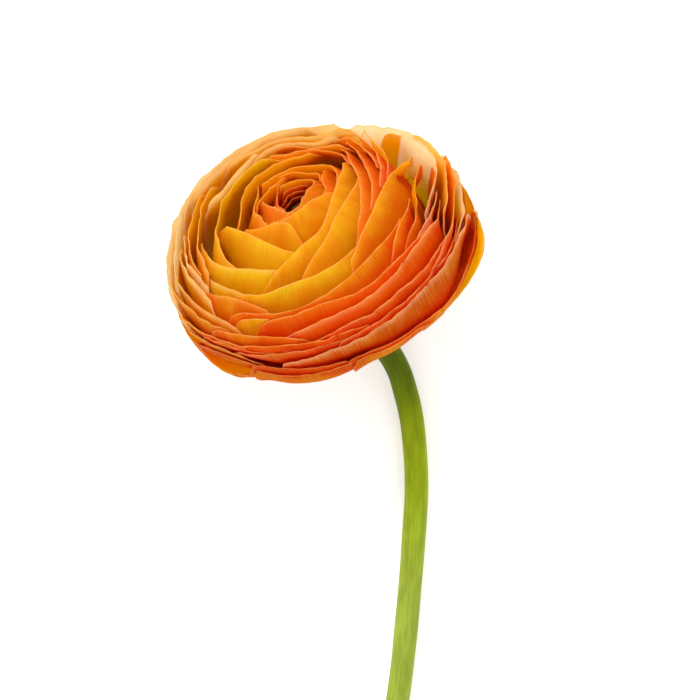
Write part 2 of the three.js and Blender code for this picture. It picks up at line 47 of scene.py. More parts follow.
# The bloom's shape, as in the solid part.
BLOOM_RADIUS = 42
DOME_HEIGHT = 24
BACK_DEPTH = 19
CENTRE_HEIGHT = 32
CENTRE_BEHIND_SPOT = 18
TILT = math.radians(48)
TILT_HEADING = math.radians(117)

# Each petal lies in a cup, a bowl whose rim is at a latitude on the dome. A cup stands at least so
# many degrees above the next one out, by that one's latitude.
LAYER_STEPS = [(10, 3.2), (45, 2), (70, 1.2)]
LOWEST_RIM = -24
NO_RIM = -90.0
HIGHEST_RIM = 88.4
HIGHEST_CUP = 88.5
SMOOTHING = 5
SMOOTHING_SPREAD = 2.5
TABLE_STEP = 3
# Below this latitude cups keep apart by a wider ring for each degree.
SHALLOWEST = 20
OUTER_SPREAD = 0.065
# Past its two ends a rim falls away by so many degrees for each degree, and there its blade ends.
END_FALL = 2.6
END_REACH = 14
# The petals lowest on the bloom end sooner.
LOW_END_REACH = 3
LOW_END_BELOW = -10
# A span or a fade says where a change starts and how far on it ends.
# How far a cup bulges out past its own rim, by azimuth. High cups bulge most.
HUG = [(0, 9), (40, 5), (90, 3), (150, 4), (180, 8), (205, 14), (300, 16), (330, 13)]
HUG_POWER = 1.6
HUG_SPAN = (12, 28)
# How far the cups of middle height open outwards instead, which they do on the right-hand side.
OPEN = [(0, 3.4), (30, 3), (60, 0.5), (90, 0), (300, 0), (322, 0.5), (345, 3)]
OPEN_SPAN = (0, 25)
OPEN_FADE = (44, 14)
# Low cups lie close under the bloom's outer face, this far inside it for each degree of latitude.
CLOSE_STEP = 0.06
CLOSE_FADE = (20, 25)
# How much of that is done, by azimuth.
CLOSE = [(0, 0.4), (40, 0), (245, 0), (275, 0.6), (298, 1), (330, 0.9), (350, 0.6)]
LEAST_BULGE = 0.02
LEAST_RADIUS = 0.5
STEEPEST = 0.995
# Petals that the bloom lies on are pressed flat, with this soft a bend.
PRESS_SOFTNESS = 1.2

# The bloom isn't quite round: its outline stands out or in by these millimetres at these azimuths.
SWELL = [
    (0, 0.2), (12, -0.2), (30, -1.2), (54, -4), (67, -2), (81, 3), (98, 4.4), (112, 4.2),
    (130, 3), (145, 1), (160, -0.4), (180, -0.6), (195, -1), (212, -2.4), (226, 0.2), (240, -0.8),
    (255, -0.6), (268, 1), (284, 0.8), (294, -0.8), (306, 2), (322, 2.4), (340, 0.8),
]
# Under the bloom it is pulled in on the near side.
TRIM = [
    (0, 0.6), (20, 0.4), (60, 0), (190, 0), (200, 0.4), (214, 2.4), (224, 4), (234, 2.2), (248, 1.4),
    (256, 1.7), (262, 2.7), (268, 2.7), (275, 0.9), (281, 0), (288, 0.4), (298, -1.6), (306, -0.6),
    (314, 1), (322, 1), (332, 0), (345, 0),
]
TRIM_FADE = (-5, 12)
SWELL_SMOOTHING = 8
TRIM_SMOOTHING = 4
SMOOTHING_WINDOW = 20
SWELL_FADE = (-6, 16)
# The eye leans towards the near side, by this much across and towards the far side.
EYE_LEAN = (0.2, -3.9)
LEAN_SPAN = (11, 12.5)
# Petals deep in the bloom, by their place in the table, have their rims this far below its dome.
SINKS = {0: 4, 1: 2.6, 2: 1.4, 32: 3, 43: 3}
# Some petals flare more than others, by these millimetres.
FLARES = {80: 1.8}
WIDE_FLARE_REACH = 8

# A petal's blade. Petals in the eye, from a latitude on, are shorter than the others.
THICKNESS = 0.2
RIM_THICKNESS = 0.1
THINNING = 2
PETAL_LENGTH = 64
INNER_LENGTH = 36
INNER_FROM = 58
LOWEST_ROOT = 0.18
SHORTEST = 0.01
ROWS = 24
ROW_POWER = 1.7
COLUMN_ANGLE = 1.6
LEAST_COLUMNS = 12
TIP_COLUMNS = 8
# Its rim is ragged by so many degrees, more so where it is cream.
RAGGED = 0.35
RAGGED_CREAM = 0.7
# It flares outwards at its rim, except low on the bloom and where the next petal out covers it.
FLARE = 0.55
FLARE_SWING = 0.4
FLARE_REACH = 3
FLARE_SPAN = (-4, 16)
FREE_SPAN = (-0.5, 2.5)
# It waves and pleats a little. From this latitude on each petal does so in its own way.
WAVE = 0.1
WAVE_REACH = 5
PLEAT = 0.035
PLEAT_REACH = 8
LOOSE_FROM = 26
# The ripples' lengths in millimetres, and the first of their seeds.
RAGGED_RIPPLE = (6, 100)
FLARE_RIPPLE = (14, 300)
PLEAT_RIPPLE = (2, 500)
WAVE_RIPPLE = (5, 700)
SMALLEST_RIM = 6
# Each ripple is the sum of three waves, with these shares and each as much shorter.
RIPPLE_PARTS = (1, 0.61, 0.37)
RIPPLE_STRETCH = (0.85, 1.15)

# The petals, from the eye out: a tint as (gold, blush, cream), and the rim's points as azimuth and
# latitude by turns. The points were read off a picture. A scratch script turned them into degrees and
# shifted most of them to fit, and some were then corrected by hand.
PETALS = [
    ((0.1, 0.5, 0), [46, 83.2, 53, 83.8, 74, 85.2, 103, 85.1, 124, 84.4, 141, 84.2, 161, 84.3]),
    ((0.2, 0.6, 0), [39, 83.6, 55, 84.4, 80, 84.7, 107, 83.9, 123, 83.4, 138, 83.2]),
    ((0.3, 0.3, 0), [37, 83.3, 65, 83.3, 91, 82.8, 105, 82.2, 116, 81.7]),
    ((0.6, 0.2, 0), [331, 78.6, 347, 79.3, 3, 79.9, 18, 81.6, 48, 82.3, 69, 82.7, 95, 82.8, 109, 82]),
    ((0.35, 0.3, 0), [106, 81.2, 116, 82.2, 131, 83.7, 154, 84.6, 179, 84.4, 201, 83.2, 214, 82.8,
     229, 82.3]),
    ((0.7, 0.6, 0.05), [154, 78.2, 162, 79.9, 177, 81.6, 198, 82.9, 227, 82.5, 241, 81.1, 250, 79.2]),
    ((0.75, 0.5, 0), [235, 79.7, 241, 81.1, 258, 82.5, 277, 83.3, 295, 85.2, 325, 85.2, 348, 84.9,
     358, 83.2]),
    ((0.6, 0.2, 0), [91, 79.4, 105, 79.5, 117, 79.2, 129, 79.1, 142, 78, 156, 76.6, 168, 76]),
    ((0.6, 0.3, 0), [7, 75.5, 19, 77.5, 35, 78.8, 49, 78.9, 65, 78.3, 79, 76.5, 95, 75.3]),
    ((0.6, 0.3, 0), [304, 75.8, 326, 77.7, 341, 78.5, 359, 79.3, 10, 78.6, 18, 76.8, 24, 74]),
    ((0.6, 0.15, 0), [354, 72.5, 5, 72.7, 16, 72.9, 31, 73.9, 46, 74.6, 59, 74.5, 91, 75.8, 105, 75.4,
     119, 74.8]),
    ((0.7, 0.1, 0.05), [123, 75.2, 139, 75.9, 153, 76, 168, 75.5, 180, 76.5, 190, 77.5, 200, 75.9,
     208, 74.7]),
    ((0.8, 0.1, 0), [213, 76.3, 223, 77.9, 237, 79.2, 254, 79.9, 269, 80.7, 287, 81.7, 302, 81.3,
     314, 80.1, 322, 78.6, 329, 77.9]),
    ((0.85, 0.3, 0), [188, 68.7, 197, 71.4, 206, 73.7, 215, 75.8, 229, 77.1, 245, 76.9, 252, 74.8,
     255, 72]),
    ((0.7, 0, 0.05), [58, 67.1, 70, 67.4, 81, 68.2, 91, 68.4, 99, 67.7, 105, 67.8, 114, 68.7, 123, 68.8,
     130, 68.9, 140, 69.9, 150, 70.4, 163, 70.4, 175, 69.8]),
    ((1, 0, 0), [170, 64.9, 178, 66.9, 188, 68.7, 198, 69.4, 211, 69.5, 223, 68.8, 235, 67.2, 244, 64.6,
     251, 62, 255, 58.5]),
    ((0.9, 0, 0.05), [82, 59.2, 90, 59.1, 97, 59.3, 105, 59.4, 113, 59.4, 124, 60.4, 135, 60.8, 139, 59.3,
     145, 60.8, 150, 60.3, 158, 60.1, 165, 59.9, 172, 59.4, 183, 58.5, 195, 56.8, 207, 54]),
    ((1, 0, 0.1), [166, 44.2, 173, 46.9, 179, 49.2, 190, 51.9, 198, 53, 207, 54.5, 217, 56.5, 227, 57.2,
     237, 56.3, 243, 53.2]),
    ((0.9, 0.1, 0), [233, 46.5, 236, 52.1, 239, 56.8, 245, 60.2, 252, 63.5, 261, 66, 272, 67.4, 281, 68.9,
     290, 71.4, 301, 73.3, 318, 75, 338, 74.8, 353, 73.8, 4, 71.1, 16, 68.2]),
    ((0.85, 0.2, 0), [254, 48.9, 256, 52.3, 260, 56.3, 265, 59.6, 272, 62, 280, 64.4, 289, 67.3, 298, 69,
     312, 69.8, 325, 69.4, 334, 68.5, 340, 66.9, 351, 62.8]),
    ((0.5, 0.2, 0.1), [13, 63.7, 23, 64.8, 38, 64.4, 52, 63.1, 65, 63.3, 77, 64.8, 89, 64.3]),
    ((0.6, 0.3, 0.05), [290, 51.6, 295, 54.9, 301, 59.3, 310, 62.3, 321, 64.7, 335, 66.2, 352, 66.7,
     8, 66.7, 18, 65.2, 28, 62.8, 34, 61.1]),
    ((0.6, 0.2, 0.2), [29, 59.2, 45, 60.2, 55, 58.8, 61, 57, 69, 55.3, 76, 55.1, 85, 54.4]),
    ((0.55, 0.25, 0.05), [316, 58.1, 325, 59.9, 336, 61.7, 347, 62.5, 358, 62.7, 9, 62.1, 19, 60.6,
     29, 58.7, 36, 57.1]),
    ((0.5, 0.3, 0.1), [357, 57.7, 8, 57.9, 18, 57.3, 28, 55.8, 36, 53.9, 42, 51, 47, 48, 54, 46.1]),
    ((0.95, 0, 0.2), [192, 40.5, 197, 41.7, 202, 43.3, 209, 44.1, 217, 44.4, 224, 43.4, 232, 40.8]),
    ((0.85, 0.05, 0), [218, 41.7, 224, 45, 232, 45.6, 237, 46.6, 244, 48.8, 251, 49.7, 260, 50.1,
     267, 50.8, 282, 51.7, 292, 51.4, 300, 49]),
    ((0.8, 0.1, 0.5), [50, 56, 58, 58.2, 66, 57, 74, 54.5, 84, 53.5, 92, 54.3, 100, 53]),
    ((0.8, 0.1, 0.6), [98, 52.2, 105, 55.8, 113, 56.8, 120, 55.2, 127, 57.4, 134, 56.4, 140, 52.3]),
    ((0.5, 0.4, 0.1), [338, 56, 349, 57, 0, 56.9, 10, 55.1, 20, 52.6, 30, 50, 41, 46.6, 50, 44.4]),
    ((0.75, 0.1, 0.2), [126, 47.8, 131, 48.2, 137, 48.7, 144, 49.6, 152, 50, 164, 49.9, 175, 49.6,
     185, 49.3, 194, 46.4]),
    ((0.5, 0.3, 0.1), [345, 52.4, 354, 52.8, 2, 52.9, 12, 52.4, 20, 51.5, 26, 49.6, 34, 47.2]),
    ((0.7, 0, 0), [350, 53, 354, 50.5, 358, 48, 1.5, 44, 4, 41, 6, 38]),
    ((0.65, 0.05, 0), [281, 49.1, 287, 51.6, 295, 54.9, 303, 57, 312, 58.2, 321, 59, 331, 58, 341, 56.3,
     349, 54.5, 353, 53, 355, 44, 357, 25]),
    ((0.7, 0.1, 0.4), [50, 48, 60, 50, 70, 51, 80, 49.5, 90, 47.5, 100, 48.5, 110, 47]),
    ((0.7, 0.1, 0.2), [131, 44.7, 137, 44, 141, 44.4, 148, 44.5, 156, 44.7, 164, 44.4, 174, 43.2,
     189, 42.4]),
    ((0.8, 0.1, 0.5), [155, 39.8, 163, 40.7, 171, 41.8, 181, 42.3, 191, 41.8, 199, 40.2]),
    ((0.6, 0.15, 0.05), [197, 36.1, 203, 37.9, 209, 40.2, 215, 42.1, 220, 41.7, 228, 41, 236, 37.3]),
    ((0.5, 0.1, 0), [218, 30.7, 221, 33.4, 226, 35.6, 233, 35.8, 240, 35.2, 249, 35, 257, 37.1, 267, 40.2,
     277, 42.4, 285, 43.9, 296, 45.2, 306, 45.3, 315, 45.2]),
    ((0.8, 0.1, 0.4), [163, 37.2, 172, 37.7, 179, 38.8, 189, 39.7, 197, 38.6, 205, 35.9]),
    ((0.7, 0.1, 0.5), [70, 40, 80, 42.5, 90, 42, 100, 43.5, 110, 42.5, 120, 43, 130, 40]),
    ((0.4, 0.1, 0), [294, 32.2, 297, 36.5, 301, 40.8, 307, 44.2, 312, 45.9, 317, 46.2, 323, 45.9,
     328, 46.2]),
    ((0.5, 0.1, 0), [303, 33.1, 308, 36.3, 314, 38.6, 322, 41.5, 329, 43.3, 334, 44.8, 339, 45.4,
     346, 44.2, 352, 41.6]),
    ((0.1, 0, 0), [330, 32, 338, 34, 346, 35.5, 354, 35.5, 357, 33, 359, 25, 1, 5]),
    ((0.8, 0, 1), [315, 29.2, 322, 31.4, 330, 31.5, 338, 30, 346, 29, 355, 28.5, 4, 29.5, 12, 31.5,
     17, 33.5, 20, 33.5, 22, 24, 24.5, 2]),
    ((0.6, 0, 0.1), [18, 24, 21, 26, 25, 27.5, 28, 28, 31, 26.5, 33, 23]),
    ((0.7, 0.1, 1), [20, 26, 26, 28.5, 34, 29.5, 42, 29.5, 48, 28.5, 51, 26]),
    ((0.35, 0.85, 0.35), [303, 29, 306, 30.8, 313, 33.7, 317, 34, 323, 34.6, 328, 34.8, 335, 34.4]),
    ((0.75, 0, 0), [217, 21.1, 220, 24.7, 222, 28.4, 225, 31.6, 230, 33.2, 236, 32.5, 245, 30.3,
     255, 27.5]),
    ((0.35, 0.3, 0), [230, 20.3, 233, 27.5, 237, 31.6, 242, 32.6, 250, 33.5, 258, 35.2, 266, 34.9,
     275, 33.2, 285, 32.9, 293, 33.8, 301, 34, 308, 33.7, 314, 32.1]),
    ((0.7, 0.05, 0.25), [166, 31.3, 175, 31.8, 188, 31.3, 201, 30.1, 212, 29, 222, 27]),
    ((0.7, 0.1, 0.6), [58, 31, 75, 35, 95, 36, 110, 34.5, 125, 35.5, 140, 33]),
    ((0.8, 0.1, 0.8), [132, 30, 142, 34, 152, 33.5, 160, 36, 168, 33, 176, 29]),
    ((0.35, 0.5, 0.15), [242, 20.5, 248, 23.8, 256, 26.6, 265, 27.8, 275, 28.1, 285, 28.5, 293, 29.5,
     300, 31.3, 306, 32.5, 312, 33, 317, 32.2, 322, 30.2, 325, 29.2, 329, 28.7, 333, 28.3]),
    ((0.6, 0.1, 0.1), [180, 25.8, 190, 26.2, 199, 25.5, 209, 24.2, 217, 23.3]),
    ((0.5, 0.1, 0), [209, 20.1, 213, 22.7, 222, 24.6, 232, 24.4, 241, 23.1, 246, 21.1, 250, 17.6]),
    ((0.6, 0.05, 0.35), [323, 27.2, 330, 28.7, 336, 28.9, 344, 28, 352, 25.9, 1, 22.6, 12, 23, 25, 21]),
    ((0.6, 0.1, 0.6), [15, 17, 40, 20, 60, 21, 80, 20]),
    ((0.7, 0.1, 0.7), [90, 24, 110, 27, 130, 26, 150, 25, 170, 24]),
    ((0.25, 0.3, 0.05), [252, 14.2, 256, 17, 261, 19.6, 267, 21, 275, 20.4, 286, 21.2, 296, 20.8,
     305, 21.7, 311, 22.4, 317, 20.9]),
    ((0.3, 0.2, 0.1), [302, 15.3, 305, 18.5, 311, 21.3, 317, 22.9, 325, 24, 335, 24.3, 347, 22.9,
     356, 20.6, 5, 18]),
    ((0.5, 0.1, 0.1), [185, 15.1, 192, 16.7, 197, 16.5, 204, 14.3, 209, 16, 218, 17.2, 226, 17]),
    ((0.3, 0.2, 0), [226, 17.9, 232, 19.3, 240, 18.5, 248, 17.3, 256, 16.7, 263, 17.2, 268, 16.4,
     273, 13.9]),
    ((0.3, 0.15, 0), [200, 8.9, 206, 12.2, 212, 14.1, 218, 14.5, 225, 14.1, 232, 13.2, 240, 12.7,
     248, 12.2]),
    ((0.6, 0.1, 0.6), [10, 8, 35, 12, 60, 11, 85, 10]),
    ((0.7, 0.1, 0.8), [75, 13, 100, 17, 125, 15, 150, 18, 175, 15, 190, 12]),
    ((0.15, 0.6, 0.05), [215, 3.6, 220, 8.9, 227, 11.6, 236, 12, 246, 12.1, 256, 12.1, 264, 11.3,
     270, 10.6, 278, 8]),
    ((0.15, 0.65, 0.05), [262, 10.9, 270, 13.6, 280, 13.8, 290, 13.9, 299, 14.9, 307, 16.1, 315, 16.5,
     325, 16.6, 333, 14.4]),
    ((0.7, 0.1, 0.6), [319, 14.2, 329, 17.4, 340, 17.5, 352, 14.4, 2, 12, 12, 9]),
    ((0.25, 0.9, 0.3), [238, 2.3, 246, 4.3, 255, 6.2, 264, 7.7, 273, 9.4, 283, 9.9, 293, 10.9, 303, 12.7,
     312, 14.1, 324, 15, 334, 11.7]),
    ((0.6, 0.2, 0.2), [165, 4, 178, 8, 190, 6, 202, 7, 212, 6.5, 219, 4, 225, 1]),
    ((0.6, 0.1, 0.6), [0, 0, 25, 3, 50, 2, 75, 0]),
    ((0.3, 0.2, 0.2), [70, 3, 95, 7, 120, 6, 145, 7, 165, 4]),
    ((0.2, 0.2, 0.1), [190, -6, 200, -1, 210, -2, 218, -5, 226, -9]),
    ((0.2, 0.1, 0), [221, -9, 228, -4, 237, -3.8, 245, -5.7, 253, -7.3, 260, -9.2]),
    ((0.2, 0.15, 0), [262, -9.7, 272, -7.5, 285, -8.1, 297, -8.5, 308, -8, 320, -6, 332, -4, 344, -4]),
    ((0.4, 0.2, 0.3), [340, -6, 0, -3, 25, -2, 45, -5]),
    ((0.25, 0.15, 0.15), [120, -5, 145, -2, 170, -3, 195, -6]),
    ((0.15, 0.1, 0), [222, -14, 232, -12.6, 244, -12.4, 256, -12.8, 268, -14]),
    ((0.3, 0.1, 0), [264, -13, 270, -11.6, 276, -11.3, 284, -11, 289, -12, 293, -15]),
    ((0.7, 0.1, 0.35), [306, -16, 312, -14, 320, -11, 330, -7, 338, -4, 343, -2]),
    ((0.3, 0.2, 0.2), [30, -8, 60, -5, 90, -4, 120, -5, 148, -8]),
]

# Which petals go in which piece, by their place in the table.
WHORLS = {
    "eye_petals": (0, 13),
    "inner_petals": (13, 30),
    "middle_petals": (30, 53),
    "outer_petals": (53, 69),
    "back_petals": (69, 82),
}

side_axis = Vector((math.sin(TILT_HEADING), -math.cos(TILT_HEADING), 0))
heading = Vector((math.cos(TILT_HEADING), math.sin(TILT_HEADING), 0))
eye_axis = Vector((heading.x * math.sin(TILT), heading.y * math.sin(TILT), math.cos(TILT)))
far_axis = Vector((heading.x * math.cos(TILT), heading.y * math.cos(TILT), -math.sin(TILT)))
bloom_centre = heading * -CENTRE_BEHIND_SPOT
bloom_centre.z = CENTRE_HEIGHT
bloom_axes = np.array([side_axis, far_axis, eye_axis])


def placed(points):
    """Points in the bloom's own axes, moved to the part's frame."""
    return points @ bloom_axes + np.array(bloom_centre)


def eased(value, start, reach):
    """How far a value has come over a span, from 0 to 1, with a soft start and end."""
    share = np.clip((value - start) / reach, 0, 1)
    return share * share * (3 - 2 * share)


def round_bloom(pairs, smoothing):
    """The amounts in a list of pairs, smoothed, as a function of the azimuth."""
    azimuths = [azimuth for azimuth, _ in pairs]
    around = np.interp(np.arange(360), [*azimuths, 360], [*(out for _, out in pairs), pairs[0][1]])
    steps = np.arange(-SMOOTHING_WINDOW, SMOOTHING_WINDOW + 1)
    weights = np.exp(-0.5 * (steps / smoothing) ** 2)
    table = sum(w * np.roll(around, -k) for k, w in zip(steps, weights)) / weights.sum()
    return lambda azimuth: np.interp(azimuth % 360, np.arange(361), np.append(table, table[0]))


swell_at = round_bloom(SWELL, SWELL_SMOOTHING)
trim_at = round_bloom(TRIM, TRIM_SMOOTHING)
hug_at = round_bloom(HUG, SWELL_SMOOTHING)
open_at = round_bloom(OPEN, SWELL_SMOOTHING)
close_at = round_bloom(CLOSE, SWELL_SMOOTHING)


def uneven(radius, azimuth, height):
    """Points of the bloom in its own axes, with its uneven outline and its leaning eye."""
    swell = swell_at(azimuth)
    trim = trim_at(azimuth)
    trim = trim * (1 - eased(height, *TRIM_FADE))
    angle = np.radians(azimuth)
    low = np.maximum(0, np.sin(angle)) * (1 - eased(height, *SWELL_FADE))
    radius = radius + (swell * (1 - low) - trim) * (radius / BLOOM_RADIUS) ** 2
    return leaning(np.stack([radius * np.cos(angle), radius * np.sin(angle), height], axis=-1))


def leaning(points):
    """Points moved as the eye leans."""
    lean = eased(points[..., 2:], *LEAN_SPAN)
    return points + lean * np.array([*EYE_LEAN, 0])


def dome_height(latitude):
    """How high the dome stands over the widest ring at a latitude."""
    return np.where(latitude < 0, BACK_DEPTH, DOME_HEIGHT) * np.sin(np.radians(latitude))


def rim_width(latitude):
    """The radius of a cup's rim."""
    rim = BLOOM_RADIUS * np.cos(np.radians(np.maximum(latitude, SHALLOWEST)))
    return rim + OUTER_SPREAD * np.maximum(0, SHALLOWEST - latitude)


def opened_at(latitude, azimuth):
    """How far a cup's side still leans outwards at its rim."""
    opened = open_at(azimuth) * eased(latitude, *OPEN_SPAN)
    return opened * (1 - eased(latitude, *OPEN_FADE))


def cup_at(latitude, azimuth):
    """The width and rise of the cup that a petal lies in. Its side is an arc of an ellipse."""
    rim = rim_width(latitude)
    room = np.maximum(0, 1 - np.minimum(1, rim / BLOOM_RADIUS) ** HUG_POWER)
    hug = hug_at(azimuth) * room * eased(latitude, *HUG_SPAN)
    opened = opened_at(latitude, azimuth)
    bulge = hug * (1 - np.minimum(1, opened)) - opened
    width = rim + np.maximum(LEAST_BULGE, np.abs(bulge))
    turn = np.arcsin(rim / width)
    turn = np.where(bulge < 0, turn, np.pi - turn)
    return width, (dome_height(latitude) + BACK_DEPTH) / (1 - np.cos(turn))


def drawn_close(radius, height, latitude, azimuth):
    """A low cup's side, drawn out close under the bloom's outer face."""
    depth = np.where(height < 0, BACK_DEPTH, DOME_HEIGHT)
    here = np.degrees(np.arcsin(np.clip(height / depth, -STEEPEST, STEEPEST)))
    face = np.minimum(rim_width(here), BLOOM_RADIUS * np.cos(np.radians(here)))
    face = face - CLOSE_STEP * np.maximum(0, latitude - here)
    share = close_at(azimuth) * (1 - np.minimum(1, opened_at(latitude, azimuth)))
    share = share * (1 - eased(latitude, *CLOSE_FADE))
    return radius + share * (np.maximum(face, LEAST_RADIUS) - radius)


def unrolled(rim):
    """A rim's azimuths, made to rise, and its latitudes."""
    azimuths = []
    for azimuth in rim[::2]:
        last = azimuths[-1] if azimuths else azimuth
        azimuth += 360 * round((last - azimuth) / 360)
        azimuths.append(azimuth if azimuth >= last else azimuth + 360)
    return np.array(azimuths, float), np.array(rim[1::2], float)


def rim_near(rim, around):
    """A rim's azimuths and latitudes, and the turn nearest to it of each azimuth round the bloom."""
    azimuths, latitudes = unrolled(rim)
    middle = (azimuths[0] + azimuths[-1]) / 2
    return azimuths, latitudes, around + 360 * np.round((middle - around) / 360)


def past_ends(azimuths, at):
    """How far past a rim's ends azimuths lie."""
    return np.maximum(0, np.maximum(azimuths[0] - at, at - azimuths[-1]))


def smooth_curve(t, span, first, last, first_slope, last_slope):
    """The point at a share t of a smooth curve between two points with given slopes."""
    return (
        (2 * t**3 - 3 * t**2 + 1) * first
        + (t**3 - 2 * t**2 + t) * span * first_slope
        + (3 * t**2 - 2 * t**3) * last
        + (t**3 - t**2) * span * last_slope
    )


def straight_rim(azimuths, latitudes, at):
    """A rim's latitude by straight runs, falling away past its ends."""
    return np.interp(at, azimuths, latitudes) - END_FALL * past_ends(azimuths, at)


def curved_rim(azimuths, latitudes, at):
    """A rim's latitude on a smooth curve through its points, with a pointed tip at each end."""
    run = np.diff(azimuths)
    rise = np.diff(latitudes) / run
    slopes = np.concatenate(([rise[0]], (rise[:-1] + rise[1:]) / 2, [rise[-1]]))
    inside = np.clip(at, azimuths[0], azimuths[-1])
    k = np.clip(np.searchsorted(azimuths, inside, side="right") - 1, 0, len(run) - 1)
    t = (inside - azimuths[k]) / run[k]
    value = smooth_curve(t, run[k], latitudes[k], latitudes[k + 1], slopes[k], slopes[k + 1])
    return value - END_FALL * past_ends(azimuths, at)


def end_reach(latitudes):
    """How far a petal goes on past its rim's ends, in degrees."""
    return END_REACH if latitudes.mean() > LOW_END_BELOW else LOW_END_REACH


def covering_rim(index, at):
    """The highest rim among the petals further out, at each azimuth."""
    highest = np.full(len(at), NO_RIM)
    for _, rim in PETALS[index + 1:]:
        azimuths, latitudes, near = rim_near(rim, at)
        line = curved_rim(azimuths, latitudes, near)
        there = past_ends(azimuths, near) < end_reach(latitudes)
        highest = np.where(there, np.maximum(highest, line), highest)
    return highest


def smoothed(table):
    """A table round the circle, smoothed."""
    reach = math.ceil(SMOOTHING_SPREAD * SMOOTHING / TABLE_STEP)
    steps = np.arange(-reach, reach + 1)
    weights = np.exp(-0.5 * (steps * TABLE_STEP / SMOOTHING) ** 2)
    return sum(w * np.roll(table, -k) for k, w in zip(steps, weights)) / weights.sum()


def nested(petals):
    """The latitude of each petal's cup, in a table round the circle, from the outermost petal in."""
    around = np.arange(0, 360, TABLE_STEP, dtype=float)
    envelope = np.full(len(around), float(LOWEST_RIM))
    tables = []
    for _, rim in reversed(petals):
        azimuths, latitudes, at = rim_near(rim, around)
        presence = np.maximum(0, 1 - past_ends(azimuths, at) / (2 * END_REACH))
        wanted = straight_rim(azimuths, latitudes, at)
        step = np.interp(envelope, *zip(*LAYER_STEPS))
        envelope = np.minimum(HIGHEST_CUP, np.maximum(envelope + step * presence, wanted))
        tables.append(smoothed(envelope))
    return tables[::-1]


def rippled(at, ripple, degree=1, place=0):
    """A smooth random line from -1 to 1, with ripples of a length and from a seed."""
    scale = ripple[0] * degree
    random = np.random.default_rng(ripple[1] + place)
    total = np.zeros_like(at)
    for part in RIPPLE_PARTS:
        phase = random.uniform(0, 2 * np.pi)
        stretch = random.uniform(*RIPPLE_STRETCH)
        total += part * np.sin(2 * np.pi * at / (scale * part * stretch) + phase)
    return total / sum(RIPPLE_PARTS)


def arc_turn(latitude, rise):
    """How far round its arc a cup's side meets a latitude, in radians from its foot."""
    return np.arccos(np.clip(1 - (dome_height(latitude) + BACK_DEPTH) / rise, -STEEPEST, 1))


def blade_columns(azimuths, reach):
    """The azimuths of a blade's columns, which lie closer together at its tips."""
    stops = [azimuths[0] - reach, azimuths[0], azimuths[-1], azimuths[-1] + reach]
    middle = max(LEAST_COLUMNS, int((azimuths[-1] - azimuths[0]) / COLUMN_ANGLE))
    counts = [TIP_COLUMNS, middle, TIP_COLUMNS]
    runs = [np.linspace(stops[k], stops[k + 1], counts[k], endpoint=False) for k in range(3)]
    return np.concatenate([*runs, [stops[-1]]])


def blade_turns(level, rim_turn, size):
    """How far round its arc each row of a blade lies, column by column, from its root to its rim."""
    middle = len(rim_turn) // 2
    length = PETAL_LENGTH if level < INNER_FROM else INNER_LENGTH
    depth = min(length, (rim_turn[middle] - LOWEST_ROOT) * size[middle])
    root = np.max(rim_turn) - depth / size
    root = np.clip(np.minimum(root, rim_turn - SHORTEST), LOWEST_ROOT, None)
    share = 1 - (1 - np.linspace(0, 1, ROWS)) ** ROW_POWER
    return root[:, None] + (rim_turn - root)[:, None] * share[None, :]


def blade_relief(index, level, azimuths, at, degree, below, bare):
    """How far a blade stands out from its cup, where it flares, waves and pleats."""
    own = index * (level > LOOSE_FROM)
    free = eased(level, *FLARE_SPAN) * eased(bare, *FREE_SPAN)
    flare = free * (FLARE + FLARE_SWING * rippled(at, FLARE_RIPPLE, degree, own))
    flare = flare[:, None] * np.exp(-((below / FLARE_REACH) ** 2))
    between = np.clip((at - azimuths[0]) / (azimuths[-1] - azimuths[0]), 0, 1)
    wide = FLARES.get(index, 0) * np.sin(np.pi * between)[:, None]
    flare = flare + wide * np.exp(-((below / WIDE_FLARE_REACH) ** 2))
    wave = WAVE * rippled(at, WAVE_RIPPLE, degree, own)[:, None] * np.exp(-below / WAVE_REACH)
    pleat = PLEAT * rippled(at, PLEAT_RIPPLE, degree, own)[:, None] * np.exp(-below / PLEAT_REACH)
    return flare + wave + pleat


def blade_crest(index, cream, azimuths, latitudes, at, degree):
    """The latitude of a blade's ragged rim at each column."""
    crest = curved_rim(azimuths, latitudes, at)
    ragged = (RAGGED + RAGGED_CREAM * cream) * rippled(at, RAGGED_RIPPLE, degree, index)
    return np.clip(crest + ragged * np.cos(np.radians(crest)), LOWEST_RIM, HIGHEST_RIM)


def pressed(points):
    """Points with what would lie under the floor pressed flat on it."""
    points[..., 2] += (np.hypot(points[..., 2], PRESS_SOFTNESS) - points[..., 2]) / 2
    return points


